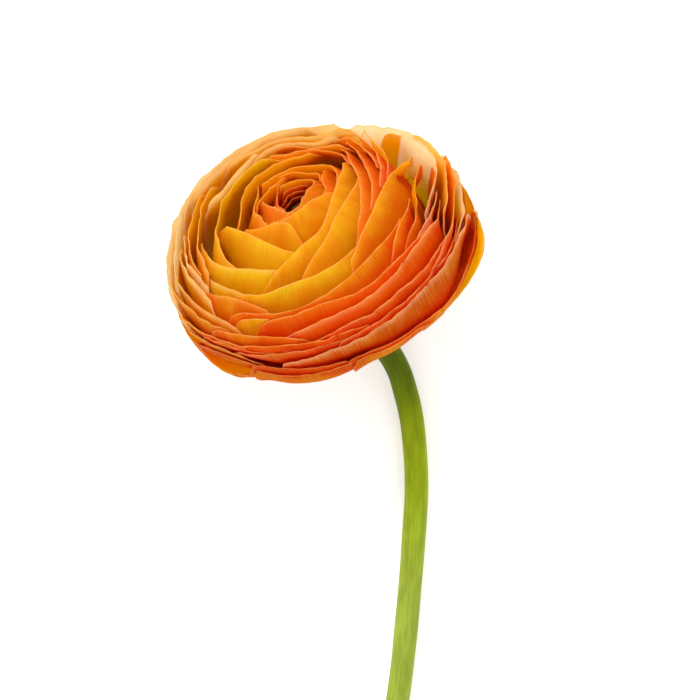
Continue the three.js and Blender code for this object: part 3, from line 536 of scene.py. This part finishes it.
def petal_blade(index, cups):
    """The outer and inner faces of a petal as grids of points, with what its material needs: each
    point's azimuth, how far it lies below the rim, and how far outside the next petal's cover."""
    tint, rim = PETALS[index]
    azimuths, latitudes = unrolled(rim)
    level = latitudes.mean()
    at = blade_columns(azimuths, end_reach(latitudes))
    around = np.arange(0, 360 + TABLE_STEP, TABLE_STEP)
    cup_latitude = np.interp(at % 360, around, np.append(cups, cups[0]))
    width, rise = cup_at(cup_latitude, at)
    size = (width + rise) / 2
    # One millimetre along the rim is this many degrees.
    degree = np.degrees(1 / np.clip(BLOOM_RADIUS * np.cos(np.radians(level)), SMALLEST_RIM, BLOOM_RADIUS))
    crest = blade_crest(index, tint[2], azimuths, latitudes, at, degree)
    rim_turn = arc_turn(crest, rise)
    turn = blade_turns(level, rim_turn, size)
    below = (rim_turn[:, None] - turn) * size[:, None]
    exposed = (turn - arc_turn(covering_rim(index, at), rise)[:, None]) * size[:, None]
    out = blade_relief(index, level, azimuths, at, degree, below, exposed[:, -1])
    height = -BACK_DEPTH + rise[:, None] * (1 - np.cos(turn))
    radius = drawn_close(width[:, None] * np.sin(turn), height, cup_latitude[:, None], at[:, None])
    # The blade's outward direction, from its own slope.
    outward = np.gradient(height, axis=1)
    upward = -np.gradient(radius, axis=1)
    slope = np.hypot(outward, upward)
    height = height - SINKS.get(index, 0)
    thick = RIM_THICKNESS + (THICKNESS - RIM_THICKNESS) * (1 - np.exp(-below / THINNING))
    azimuth = np.broadcast_to(at[:, None], below.shape)
    faces = []
    for offset in (out + thick / 2, out - thick / 2):
        r = radius + outward / slope * offset
        z = height + upward / slope * offset
        faces.append(pressed(placed(uneven(r, azimuth, z))))
    return faces, azimuth, below, exposed


def shell_faces(columns, rows, first):
    """The quads of a closed blade: its outer face, its inner face, and its narrow edges."""
    i, j = np.meshgrid(np.arange(columns - 1), np.arange(rows - 1), indexing="ij")
    a = (i * rows + j).ravel()
    outer = np.stack([a, a + rows, a + rows + 1, a + 1], axis=1)
    under = columns * rows
    inner = outer[:, ::-1] + under
    c = np.arange(columns - 1) * rows
    top = c + rows - 1
    r = np.arange(rows - 1)
    last = (columns - 1) * rows + r
    borders = [(c, c + rows), (top + rows, top), (r + 1, r), (last, last + 1)]
    edges = [np.stack([a, a + under, b + under, b], axis=1) for a, b in borders]
    faces = np.concatenate([outer, inner, *edges])
    smooth = np.arange(len(faces)) < len(outer) + len(inner)
    return faces + first, smooth


def mesh_object(name, points, faces, material, smooth=True, **layers):
    """An object from points in millimetres, faces, and one number or triple a point for each layer."""
    mesh = bpy.data.meshes.new(name)
    mesh.from_pydata((np.asarray(points) * MM).tolist(), [], faces)
    mesh.polygons.foreach_set("use_smooth", np.ones(len(faces), bool) & smooth)
    for layer, values in layers.items():
        values = np.asarray(values, np.float32)
        kind, key = ("FLOAT", "value") if values.ndim == 1 else ("FLOAT_VECTOR", "vector")
        mesh.attributes.new(layer, kind, "POINT").data.foreach_set(key, values.ravel())
    mesh.materials.append(material)
    mesh.update()
    return linked(bpy.data.objects.new(name, mesh))


def linked(made):
    bpy.context.scene.collection.objects.link(made)
    return made


def belongs(piece, node):
    """Makes a piece stand for one node of the solid part."""
    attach(piece, "root")
    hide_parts(node)


def joined_blades(name, first, last, cups, material):
    """The petals from one place in the table up to another, as one piece."""
    points, faces, smooth, lie, tint, depth = [], [], [], [], [], []
    count = 0
    for index in range(first, last):
        sides, at, below, exposed = petal_blade(index, cups[index])
        columns, rows = below.shape
        quads, round_ones = shell_faces(columns, rows, count)
        faces.append(quads)
        smooth.append(round_ones)
        for within, side in enumerate(sides):
            points.append(side.reshape(-1, 3))
            seed = np.full(below.shape, index * SEED_STEP)
            lie.append(np.stack([at, below, seed], axis=-1).reshape(-1, 3))
            tint.append(np.tile(PETALS[index][0], (columns * rows, 1)))
            inside = np.full(below.shape, float(within))
            depth.append(np.stack([exposed, inside, inside], axis=-1).reshape(-1, 3))
        count += 2 * columns * rows
    return mesh_object(
        name, np.concatenate(points), np.concatenate(faces).tolist(), material, np.concatenate(smooth),
        lie=np.concatenate(lie), tint=np.concatenate(tint), depth=np.concatenate(depth),
    )


class Nodes:
    """Makes a material's nodes. A value is a number, a colour or another node's output."""

    def __init__(self, name):
        self.material = bpy.data.materials.new(name)
        self.material.use_nodes = True
        self.tree = self.material.node_tree
        self.tree.nodes.clear()

    def add(self, kind, **settings):
        node = self.tree.nodes.new(kind)
        for key, value in settings.items():
            setattr(node, key, value)
        return node

    def put(self, socket, value):
        if isinstance(value, bpy.types.NodeSocket):
            self.tree.links.new(value, socket)
        else:
            socket.default_value = value

    def fill(self, node, **values):
        for key, value in values.items():
            self.put(node.inputs[key.replace("_", " ")], value)
        return node.outputs[0]

    def paint(self, socket, color):
        self.put(socket, color if isinstance(color, bpy.types.NodeSocket) else (*color, 1))

    def math(self, operation, a, b, clamp=False):
        node = self.add("ShaderNodeMath", operation=operation, use_clamp=clamp)
        self.put(node.inputs[0], a)
        self.put(node.inputs[1], b)
        return node.outputs[0]

    def times(self, a, b):
        return self.math("MULTIPLY", a, b)

    def ranged(self, value, low, high, to_low=0.0, to_high=1.0):
        node = self.add("ShaderNodeMapRange", interpolation_type="SMOOTHSTEP")
        return self.fill(node, Value=value, From_Min=low, From_Max=high, To_Min=to_low, To_Max=to_high)

    def mix(self, factor, a, b, blend="MIX"):
        node = self.add("ShaderNodeMix", data_type="RGBA", blend_type=blend)
        self.put(node.inputs[0], factor)
        self.paint(node.inputs[6], a)
        self.paint(node.inputs[7], b)
        return node.outputs[2]

    def shadowed(self, color, shade):
        """A colour times a grey."""
        return self.mix(1.0, color, self.join(shade, shade, shade), blend="MULTIPLY")

    def noise(self, vector, scale, detail=3.0, roughness=0.5):
        node = self.add("ShaderNodeTexNoise")
        return self.fill(node, Vector=vector, Scale=scale, Detail=detail, Roughness=roughness)

    def place(self):
        return self.add("ShaderNodeTexCoord").outputs["Object"]

    def attribute(self, name):
        return self.add("ShaderNodeAttribute", attribute_name=name)

    def parts_of(self, name):
        """The three numbers of a mesh's attribute."""
        node = self.add("ShaderNodeSeparateXYZ")
        self.fill(node, Vector=self.attribute(name).outputs["Vector"])
        return node.outputs

    def join(self, x, y, z):
        return self.fill(self.add("ShaderNodeCombineXYZ"), X=x, Y=y, Z=z)

    def stretched(self, parts, scales):
        """A vector from three numbers, each times its own scale."""
        return self.join(*(self.times(part, scale) for part, scale in zip(parts, scales)))

    def bump(self, height, distance, strength=1.0):
        node = self.add("ShaderNodeBump")
        return self.fill(node, Height=height, Distance=distance, Strength=strength)

    def shaded(self, color, roughness, normal, **more):
        node = self.add("ShaderNodeBsdfPrincipled")
        self.paint(node.inputs["Base Color"], color)
        return self.fill(node, Roughness=roughness, Normal=normal, **more)

    def finish(self, shader):
        self.put(self.add("ShaderNodeOutputMaterial").inputs[0], shader)
        return self.material


# A petal's colours: its outer face, its inner face at the rim and deep down, its painted shade and
# highlight, and its details.
GOLD = (0.84, 0.6, 0.008)
ORANGE = (0.76, 0.12, 0.001)
# Painted shade for the gaps between petals, under the next petal's rim.
GAP_SHADE = (0.85, 0.045, 0.001)
SALMON = (0.8, 0.175, 0.008)
PINK = (0.94, 0.56, 0.16)
CREAM = (1.0, 0.9, 0.6)
INNER_GOLD = (1.0, 0.85, 0.004)
INNER_DEEP = (1.0, 0.3, 0.001)
INNER_AMBER = (1.0, 0.85, 0.002)
INNER_ORANGE = (1.0, 0.3, 0.002)
# The pale streaks near the rim, with their painted highlight.
STREAK_HIGHLIGHT = (1.0, 0.8, 0.3)
ROOT = (0.85, 0.5, 0.02)
SHEEN = (1.0, 0.6, 0.25, 1.0)
# How fast its markings change across it, towards its root, and from one petal to the next.
VEINS = (2.2, 0.07, 1.0)
STREAKS = (0.2, 0.05, 1.0)
CLOUDS = (0.07, 0.14, 1.0)
SEED_STEP = 7.3
VEIN_DEPTH = 0.00008
TRANSLUCENCE = 0.6
# Light crosses two faces of a blade, so each one takes this power of the colour.
ONE_FACE = 0.6


def outer_color(n, tint, below, exposed, fine, broad, cloud):
    """The outer face: gold or orange by the petal, washed with salmon along the veins."""
    gold, blush, _ = tint
    golden = n.math("ADD", gold, n.ranged(cloud, 0.3, 0.7, -0.2, 0.2), clamp=True)
    # Further below its rim a petal turns from gold to orange: painted shade of the petals lying over it.
    color = n.mix(n.times(golden, n.ranged(below, 4.0, 18.0, 1.0, 0.62)), ORANGE, GOLD)
    wash = n.times(blush, n.ranged(below, 0.5, 9.0, 0.9, 0.3))
    color = n.mix(n.times(wash, n.ranged(broad, 0.3, 0.6, 0.35, 1.0)), color, SALMON)
    veined = n.times(n.ranged(blush, 0.55, 0.95), n.ranged(fine, 0.46, 0.62))
    color = n.mix(n.times(veined, 0.26), color, PINK)
    # Pale streaks along the veins near the rim: partly the veins' own colour and partly a painted
    # highlight.
    painted_streak_highlight = n.times(n.ranged(below, 0.5, 7.0, 0.16, 0.0), n.ranged(fine, 0.45, 0.65))
    color = n.mix(painted_streak_highlight, color, STREAK_HIGHLIGHT)
    # Painted shade: where the next petal out covers it, and for a few millimetres above that petal's rim,
    # a petal is painted deep orange.
    painted_gap_shade = n.times(n.ranged(exposed, -1.0, 7.0, 1.0, 0.0), n.ranged(gold, 0.15, 0.95, 0.95, 0.3))
    return n.mix(painted_gap_shade, color, GAP_SHADE)


def inner_color(n, gold, below):
    """The inner face: gold at the rim and deeper orange down in the cup."""
    rim = n.mix(gold, INNER_ORANGE, INNER_GOLD)
    return n.mix(n.ranged(below, 1.5, 10.0), rim, n.mix(gold, INNER_DEEP, INNER_AMBER))


def petal_material():
    """Thin, soft petals that let light through. Distances below the rim are in millimetres."""
    n = Nodes("petal")
    lie = n.parts_of("lie")
    tint = n.parts_of("tint")
    exposed, inside, _ = n.parts_of("depth")
    below, cream = lie[1], tint[2]
    fine = n.noise(n.stretched(lie, VEINS), 1.0, 4.0, 0.6)
    broad = n.noise(n.stretched(lie, STREAKS), 1.0, 3.0)
    cloud = n.noise(n.stretched(lie, CLOUDS), 1.0, 2.0)
    color = n.mix(inside, outer_color(n, tint, below, exposed, fine, broad, cloud),
                  inner_color(n, tint[0], below))
    # A petal pales to a yellower orange at its root.
    color = n.mix(n.ranged(below, 26.0, 44.0, 0.0, 0.8), color, ROOT)
    # Cream fades in towards the rim, from further down the more of it there is.
    strong = n.times(cream, cream)
    spread = n.math("ADD", 2.0, n.times(10.0, strong))
    pale = n.times(cream, n.ranged(below, n.times(3.0, strong), spread, 1.0, 0.0))
    color = n.mix(n.times(pale, n.ranged(broad, 0.2, 0.7, 0.7, 1.0)), color, CREAM)
    # At the very rim a pink line: the petal's own pink edge and a painted highlight where the rim's edge
    # catches the light.
    rim_pink_and_highlight = n.times(n.ranged(below, 0.05, 0.6, 1.0, 0.0), n.ranged(broad, 0.35, 0.6, 0.2, 0.7))
    color = n.mix(rim_pink_and_highlight, color, PINK)
    color = n.shadowed(color, n.ranged(fine, 0.3, 0.7, 0.95, 1.03))
    normal = n.bump(fine, VEIN_DEPTH, 0.6)
    skin = n.shaded(color, 0.5, normal, Specular_IOR_Level=0.03, Specular_Tint=SHEEN)
    part = n.fill(n.add("ShaderNodeGamma"), Color=color, Gamma=ONE_FACE)
    through = n.fill(n.add("ShaderNodeBsdfTranslucent"), Color=part, Normal=normal)
    both = n.add("ShaderNodeMixShader")
    for socket, value in zip(both.inputs, (TRANSLUCENCE, skin, through)):
        n.put(socket, value)
    return n.finish(both.outputs[0])


cups = nested(PETALS)
petal = petal_material()
for whorl, (first, last) in WHORLS.items():
    belongs(joined_blades(whorl, first, last, cups, petal), "bloom")

# The stem's middle line, from its receptacle to its cut end.
STEM_PATH = [
    (14.9, -28.9, 18.8), (17.4, -32.2, 16), (22.9, -38, 11.8), (27.1, -43.3, 8.4), (29.5, -48.1, 6.2),
    (30.7, -52.1, 4.9), (31.8, -56.2, 4), (32.6, -60.3, 3.5), (33.3, -66.4, 3.2), (33.9, -76.6, 3.2),
    (33.1, -92.8, 3.2), (31.8, -109.1, 3.2), (29.2, -133.4, 3.2), (25.4, -156, 3.2), (21, -178, 3.2),
    (15.7, -200, 3.2),
]
STEM_RADIUS = 3.2
STEM_SWELL = 0.35
STEM_SWELL_REACH = 26
STEM_UNEVEN = 0.05
STEM_RIPPLE = (31, 9)
STEM_SIDES = 40
STEM_RINGS = 240
# Fine ribs run along it and turn slowly round it.
STEM_RIBS = 11
STEM_RIB_DEPTH = 0.05
STEM_RIB_TWIST = 0.01
# The rings of its hollow cut end, as (share of the stem's width, distance back up the stem).
CUT_RINGS = [(0.93, -0.12), (0.62, 0), (0.42, 0.1), (0.378, 2.5)]
CUT_MARK = 1


def smooth_path(points, count):
    """Evenly spaced points on a smooth curve through the given ones, and their distances along it."""
    points = np.array(points, float)
    run = np.concatenate(([0], np.cumsum(np.linalg.norm(np.diff(points, axis=0), axis=1))))
    slopes = np.gradient(points, run, axis=0)
    at = np.linspace(0, run[-1], count)
    k = np.clip(np.searchsorted(run, at, side="right") - 1, 0, len(run) - 2)
    span = (run[k + 1] - run[k])[:, None]
    t = ((at - run[k])[:, None]) / span
    return smooth_curve(t, span, points[k], points[k + 1], slopes[k], slopes[k + 1]), at


def unit(vectors):
    return vectors / np.linalg.norm(vectors, axis=-1, keepdims=True)


def circle(sides):
    return np.linspace(0, 2 * np.pi, sides, endpoint=False)


def ring_faces(rings, sides, first=0):
    """Quads between rings of points, one after another."""
    faces = []
    for i in range(rings - 1):
        for j in range(sides):
            a, b = first + i * sides + j, first + i * sides + (j + 1) % sides
            faces.append((a, b, b + sides, a + sides))
    return faces


def cap(sides, first=0):
    return tuple(range(first, first + sides))


def stem_object(material):
    """The stalk as a lofted tube, closed at its top and with a hollow cut end."""
    line, along = smooth_path(STEM_PATH, STEM_RINGS)
    ahead = unit(np.gradient(line, axis=0))
    aside = unit(np.cross(ahead, (0, 0, 1)))
    above = np.cross(aside, ahead)
    turn = circle(STEM_SIDES)
    radius = STEM_RADIUS + STEM_SWELL * np.exp(-along / STEM_SWELL_REACH)
    radius += STEM_UNEVEN * rippled(along, STEM_RIPPLE)
    ribs = 1 + np.cos(STEM_RIBS * turn + STEM_RIB_TWIST * along[:, None])
    ribbed = (radius[:, None] - STEM_RIB_DEPTH * ribs)[..., None]
    outward = np.cos(turn)[:, None] * aside[:, None] + np.sin(turn)[:, None] * above[:, None]
    tube = line[:, None] + ribbed * outward
    tube[..., 2] = np.maximum(tube[..., 2], 0)
    end = line[-1]
    cut = [end + (tube[-1] - end) * share - ahead[-1] * back for share, back in CUT_RINGS]
    rings = [*tube, *cut]
    count = len(rings)
    points = np.concatenate([*rings, [line[0]], [rings[-1].mean(axis=0)]])
    top, bottom = len(points) - 2, len(points) - 1
    last = (count - 1) * STEM_SIDES
    faces = ring_faces(count, STEM_SIDES)
    for j in range(STEM_SIDES):
        k = (j + 1) % STEM_SIDES
        faces.append((top, k, j))
        faces.append((bottom, last + j, last + k))
    lengths = [*along, *[along[-1] + CUT_MARK] * len(CUT_RINGS)]
    shares = np.concatenate([np.repeat(lengths, STEM_SIDES), [0, lengths[-1]]])
    turns = np.concatenate([np.tile(turn, count), [0, 0]])
    lie = np.stack([shares, np.cos(turns), np.sin(turns)], axis=-1)
    return mesh_object("stalk", points, faces, material, lie=lie)


# The stem is dark under the bloom and pales towards its cut, by its distance along.
STEM_DARK = (0.088, 0.132, 0.0005)
STEM_MIDDLE = (0.28, 0.37, 0.005)
STEM_LIGHT = (0.26, 0.33, 0.036)
STEM_CUT = (0.52, 0.6, 0.2)
STEM_PALES = (24.0, 50.0, 95.0)
STEM_GRAIN = (0.03, 9.0, 9.0)
STEM_MOTTLE = (0.12, 1.5, 1.5)
STEM_LENGTH = float(smooth_path(STEM_PATH, STEM_RINGS)[1][-1])


def stem_material():
    """A satin green skin with a long grain, and a pale cut."""
    n = Nodes("stem")
    lie = n.parts_of("lie")
    along = lie[0]
    grain = n.noise(n.stretched(lie, STEM_GRAIN), 1.0, 4.0, 0.6)
    mottle = n.noise(n.stretched(lie, STEM_MOTTLE), 1.0, 3.0)
    color = n.mix(n.ranged(along, *STEM_PALES[:2]), STEM_DARK, STEM_MIDDLE)
    color = n.mix(n.ranged(along, *STEM_PALES[1:]), color, STEM_LIGHT)
    color = n.shadowed(color, n.times(n.ranged(mottle, 0.3, 0.7, 0.86, 1.16),
                                      n.ranged(grain, 0.35, 0.65, 1.08, 0.88)))
    color = n.mix(n.ranged(along, STEM_LENGTH + 0.3, STEM_LENGTH + 0.6), color, STEM_CUT)
    skin = n.shaded(color, 0.5, n.bump(grain, VEIN_DEPTH, 0.6), Specular_IOR_Level=0.07,
                    Subsurface_Weight=0.12, Subsurface_Radius=(0.002, 0.003, 0.001), Subsurface_Scale=0.6)
    return n.finish(skin)


stem_skin = stem_material()
belongs(stem_object(stem_skin), "stem")

# The receptacle under the bloom, as (radius, height) on its axis.
RECEPTACLE = [
    (0.1, -17.9), (5.6, -17.9), (6.6, -18.3), (7, -19), (6.7, -20), (5.6, -21.8), (4.5, -23.6),
    (3.9, -25.2), (3.5, -26.4), (0.1, -26.6),
]
ROUND_SIDES = 48


def turned_points(profile, sides):
    """A profile turned round the bloom's axis, ring by ring."""
    angle = circle(sides)
    rings = [np.stack([r * np.cos(angle), r * np.sin(angle), np.full(sides, float(z))], axis=-1)
             for r, z in profile]
    return np.concatenate(rings)


def flipped(faces):
    return [tuple(reversed(face)) for face in faces]


def receptacle_object(material):
    """The swollen top of the stem, in the stem's darkest green."""
    points = placed(turned_points(RECEPTACLE, ROUND_SIDES))
    last = (len(RECEPTACLE) - 1) * ROUND_SIDES
    faces = flipped(ring_faces(len(RECEPTACLE), ROUND_SIDES))
    faces += [cap(ROUND_SIDES), *flipped([cap(ROUND_SIDES, last)])]
    return mesh_object("receptacle", points, faces, material, lie=np.zeros((len(points), 3)))


belongs(receptacle_object(stem_skin), "stem")

# Sepals: narrow, pointed, hollow to the petals and bent back, on a ring round the receptacle.
SEPAL_COUNT = 5
FIRST_SEPAL = 54
SEPAL_ROOT = 7.4
SEPAL_LENGTH = 10
SEPAL_HALF_WIDTH = 4.1
SEPAL_TIP_HALF_WIDTH = 0.12
SEPAL_NARROW = 0.62
SEPAL_BELLY = 1.1
SEPAL_THICKNESS = 0.7
SEPAL_LEVEL = -20.1
SEPAL_BEND = -1.9
SEPAL_WAVE = 0.25
SEPAL_WAVES = 3
SEPAL_CUPPING = 0.6
SEPAL_CORNER = 0.04
SEPAL_COLUMNS = 15
SEPAL_ROWS = 21
CALYX_RING = [(7.25, -20.6), (8.8, -20.6), (9, -20.1), (8.8, -19.7), (7.25, -19.7), (7.25, -20.6)]
SEPAL_LIGHT = (0.3, 0.36, 0.07)
SEPAL_DARK = (0.13, 0.19, 0.02)


def sepal_points(index):
    """The two faces of one sepal."""
    side = np.linspace(-1, 1, SEPAL_COLUMNS)[:, None]
    length = np.linspace(0, 1, SEPAL_ROWS)[None, :]
    belly = SEPAL_NARROW + SEPAL_BELLY * length * (1 - length) ** 0.6
    half = SEPAL_HALF_WIDTH * belly * (1 - length**5) ** 0.8 + SEPAL_TIP_HALF_WIDTH
    reach = SEPAL_ROOT + SEPAL_LENGTH * length * (1 - SEPAL_CORNER * side**2)
    bend = SEPAL_BEND * length**2.2 + SEPAL_WAVE * np.sin(SEPAL_WAVES * length + index)
    height = SEPAL_LEVEL + bend + SEPAL_CUPPING * side**2 * half / SEPAL_HALF_WIDTH
    angle = math.radians(FIRST_SEPAL + 360 * index / SEPAL_COUNT)
    across = side * half
    x = reach * math.cos(angle) - across * math.sin(angle)
    y = reach * math.sin(angle) + across * math.cos(angle)
    thick = SEPAL_THICKNESS * (1 - 0.5 * side**2) * (1 - 0.5 * length)
    return [placed(np.stack([x, y, height + lift], axis=-1)).reshape(-1, 3)
            for lift in (-thick / 2, thick / 2)]


def calyx_object(material):
    """All sepals and their ring."""
    points, faces, count = [], [], 0
    for index in range(SEPAL_COUNT):
        points += sepal_points(index)
        faces += shell_faces(SEPAL_COLUMNS, SEPAL_ROWS, count)[0].tolist()
        count += 2 * SEPAL_COLUMNS * SEPAL_ROWS
    points.append(placed(turned_points(CALYX_RING, ROUND_SIDES)))
    faces += flipped(ring_faces(len(CALYX_RING), ROUND_SIDES, count))
    return mesh_object("sepals", np.concatenate(points), faces, material)


def sepal_material():
    """A mottled, dull green."""
    n = Nodes("sepal")
    mottle = n.noise(n.place(), 400.0, 4.0, 0.6)
    color = n.mix(n.ranged(mottle, 0.35, 0.65), SEPAL_DARK, SEPAL_LIGHT)
    return n.finish(n.shaded(color, 0.55, n.bump(mottle, 0.0002, 0.5), Specular_IOR_Level=0.35))


belongs(calyx_object(sepal_material()), "calyx")

# The heart: a cone of small pointed carpels, packed in a spiral.
HEART_CONE = [(0.1, 11), (3.2, 11), (3.5, 13.5), (3.1, 15.6), (2.2, 17.2), (1, 18.2), (0.1, 18.5)]
CONE_SIDES = 32
CONE_AGE = 0.2
CARPELS = 150
HEART_SEED = 77
CARPEL_SIDES = 6
GOLDEN_ANGLE = 2.39996
LOWEST_CARPEL = 11.6
CARPELS_RISE = 6.7
CARPELS_CROWD = 0.8
CARPEL_SINK = 0.15
# How steeply the lowest points up, and how much more the topmost.
CARPEL_STEEPNESS = (0.35, 0.9)
# How far out its tip reaches, as a share of its length, and how it curls up.
CARPEL_REACH = 0.55
CARPEL_CURL = 1.5
# A carpel's least length, half width and bend, and how much of each is random.
CARPEL_LENGTH = (0.85, 0.25)
CARPEL_WIDTH = (0.27, 0.05)
CARPEL_BEND = (0.35, 0.2)
# Its rings, as (share of its length, share of its width).
CARPEL_RINGS = ((0, 0.7), (0.35, 1.0), (0.7, 0.65), (1, 0.12))
HEART_BROWN = (0.09, 0.03, 0.008)
HEART_OLIVE = (0.3, 0.17, 0.035)
HEART_FLECK = (0.35, 0.24, 0.05)


def carpel_points(k, random):
    """The rings of one carpel, outermost last."""
    share = k / (CARPELS - 1)
    height = LOWEST_CARPEL + CARPELS_RISE * share**CARPELS_CROWD
    radius = np.interp(height, [h for _, h in HEART_CONE[1:]], [r for r, _ in HEART_CONE[1:]])
    angle = k * GOLDEN_ANGLE
    steepness = CARPEL_STEEPNESS[0] + CARPEL_STEEPNESS[1] * share
    outward = unit(np.array([math.cos(angle), math.sin(angle), steepness]))
    up = unit(np.array([0.0, 0.0, 1.0]) - outward * outward[2])
    aside = np.cross(up, outward)
    root = np.array([radius * math.cos(angle), radius * math.sin(angle), height]) - CARPEL_SINK * outward
    long, wide, bend = (least + more * random.uniform()
                        for least, more in (CARPEL_LENGTH, CARPEL_WIDTH, CARPEL_BEND))
    turn = circle(CARPEL_SIDES)[:, None]
    round_it = np.cos(turn) * aside + np.sin(turn) * up
    rings = []
    for reach, size in CARPEL_RINGS:
        out = outward * long * CARPEL_REACH * reach
        rings.append(root + out + up * bend * reach**CARPEL_CURL * CARPEL_CURL + size * wide * round_it)
    return rings


def heart_object(material):
    """The cone with its carpels."""
    random = np.random.default_rng(HEART_SEED)
    points = [turned_points(HEART_CONE, CONE_SIDES)]
    count = len(points[0])
    ages = [np.full(count, CONE_AGE)]
    faces = ring_faces(len(HEART_CONE), CONE_SIDES)
    faces += [*flipped([cap(CONE_SIDES)]), cap(CONE_SIDES, count - CONE_SIDES)]
    for k in range(CARPELS):
        rings = carpel_points(k, random)
        size = len(rings) * CARPEL_SIDES
        points += rings
        ages.append(np.full(size, random.uniform()))
        faces += ring_faces(len(rings), CARPEL_SIDES, count)
        count += size
        faces.append(cap(CARPEL_SIDES, count - CARPEL_SIDES))
    points = placed(leaning(np.concatenate(points)))
    return mesh_object("carpels", points, faces, material, age=np.concatenate(ages))


def heart_material():
    """Brown to olive, carpel by carpel, with fine speckles."""
    n = Nodes("heart")
    speckle = n.noise(n.place(), 900.0, 3.0)
    color = n.mix(n.attribute("age").outputs["Fac"], HEART_BROWN, HEART_OLIVE)
    color = n.mix(n.ranged(speckle, 0.4, 0.7, 0.0, 0.5), color, HEART_FLECK)
    return n.finish(n.shaded(color, 0.5, n.bump(speckle, 0.0001, 0.5), Specular_IOR_Level=0.4))


belongs(heart_object(heart_material()), "heart")

FLOOR_HALF = 1500
FLOOR_GREY = (0.93, 0.93, 0.93)
FLOOR_GLOW = 0.3
FLOOR_DROP = 0.0001


def floor_object():
    """A pale matte floor just under the part."""
    n = Nodes("floor")
    skin = n.shaded(FLOOR_GREY, 0.8, n.bump(n.noise(n.place(), 60.0), 0.0001, 0.1),
                    Emission_Color=(1.0, 1.0, 1.0, 1.0), Emission_Strength=FLOOR_GLOW)
    corners = [(x * FLOOR_HALF, y * FLOOR_HALF, 0) for x, y in ((-1, -1), (1, -1), (1, 1), (-1, 1))]
    made = mesh_object("floor", corners, [cap(4)], n.finish(skin), smooth=False)
    made.location.z = -FLOOR_DROP
    return made


floor_object()


def area_light(name, place, size, power, color):
    """A round soft lamp that faces the bloom."""
    lamp = bpy.data.lights.new(name, "AREA")
    lamp.shape = "DISK"
    lamp.size = size
    lamp.energy = power
    lamp.color = color
    made = linked(bpy.data.objects.new(name, lamp))
    made.location = place
    made.rotation_euler = (Vector(BLOOM_MIDDLE) - Vector(place)).to_track_quat("-Z", "Y").to_euler()


BLOOM_MIDDLE = (0.008, -0.016, 0.03)
SKY_STRENGTH = 0.92
area_light("key", (-0.3, 0.6, 0.8), 0.45, 8.5, (1.0, 0.98, 0.95))
area_light("fill", (0.15, -0.75, 0.6), 0.8, 1.5, (1.0, 0.99, 0.97))
world = bpy.data.worlds.new("studio")
world.use_nodes = True
sky = world.node_tree.nodes["Background"]
sky.inputs["Color"].default_value = (1, 1, 1, 1)
sky.inputs["Strength"].default_value = SKY_STRENGTH
bpy.context.scene.world = world

# The camera looks straight down. At the bloom's middle one pixel of the picture is PIXEL millimetres.
LENS = 135
SENSOR = 36
PICTURE = 700
PIXEL = 0.2593
BLOOM_PIXEL = (320, 252)
distance = PIXEL * PICTURE * LENS / SENSOR
right = (PICTURE / 2 - BLOOM_PIXEL[0]) * PIXEL
down = (PICTURE / 2 - BLOOM_PIXEL[1]) * PIXEL
lens = bpy.data.cameras.new("camera")
lens.lens = LENS
lens.sensor_width = SENSOR
lens.clip_start = 0.01
camera = linked(bpy.data.objects.new("camera", lens))
camera.location = Vector((bloom_centre.x + right, bloom_centre.y - down, bloom_centre.z + distance)) * MM
bpy.context.scene.camera = camera
bpy.context.scene.view_settings.view_transform = "Standard"
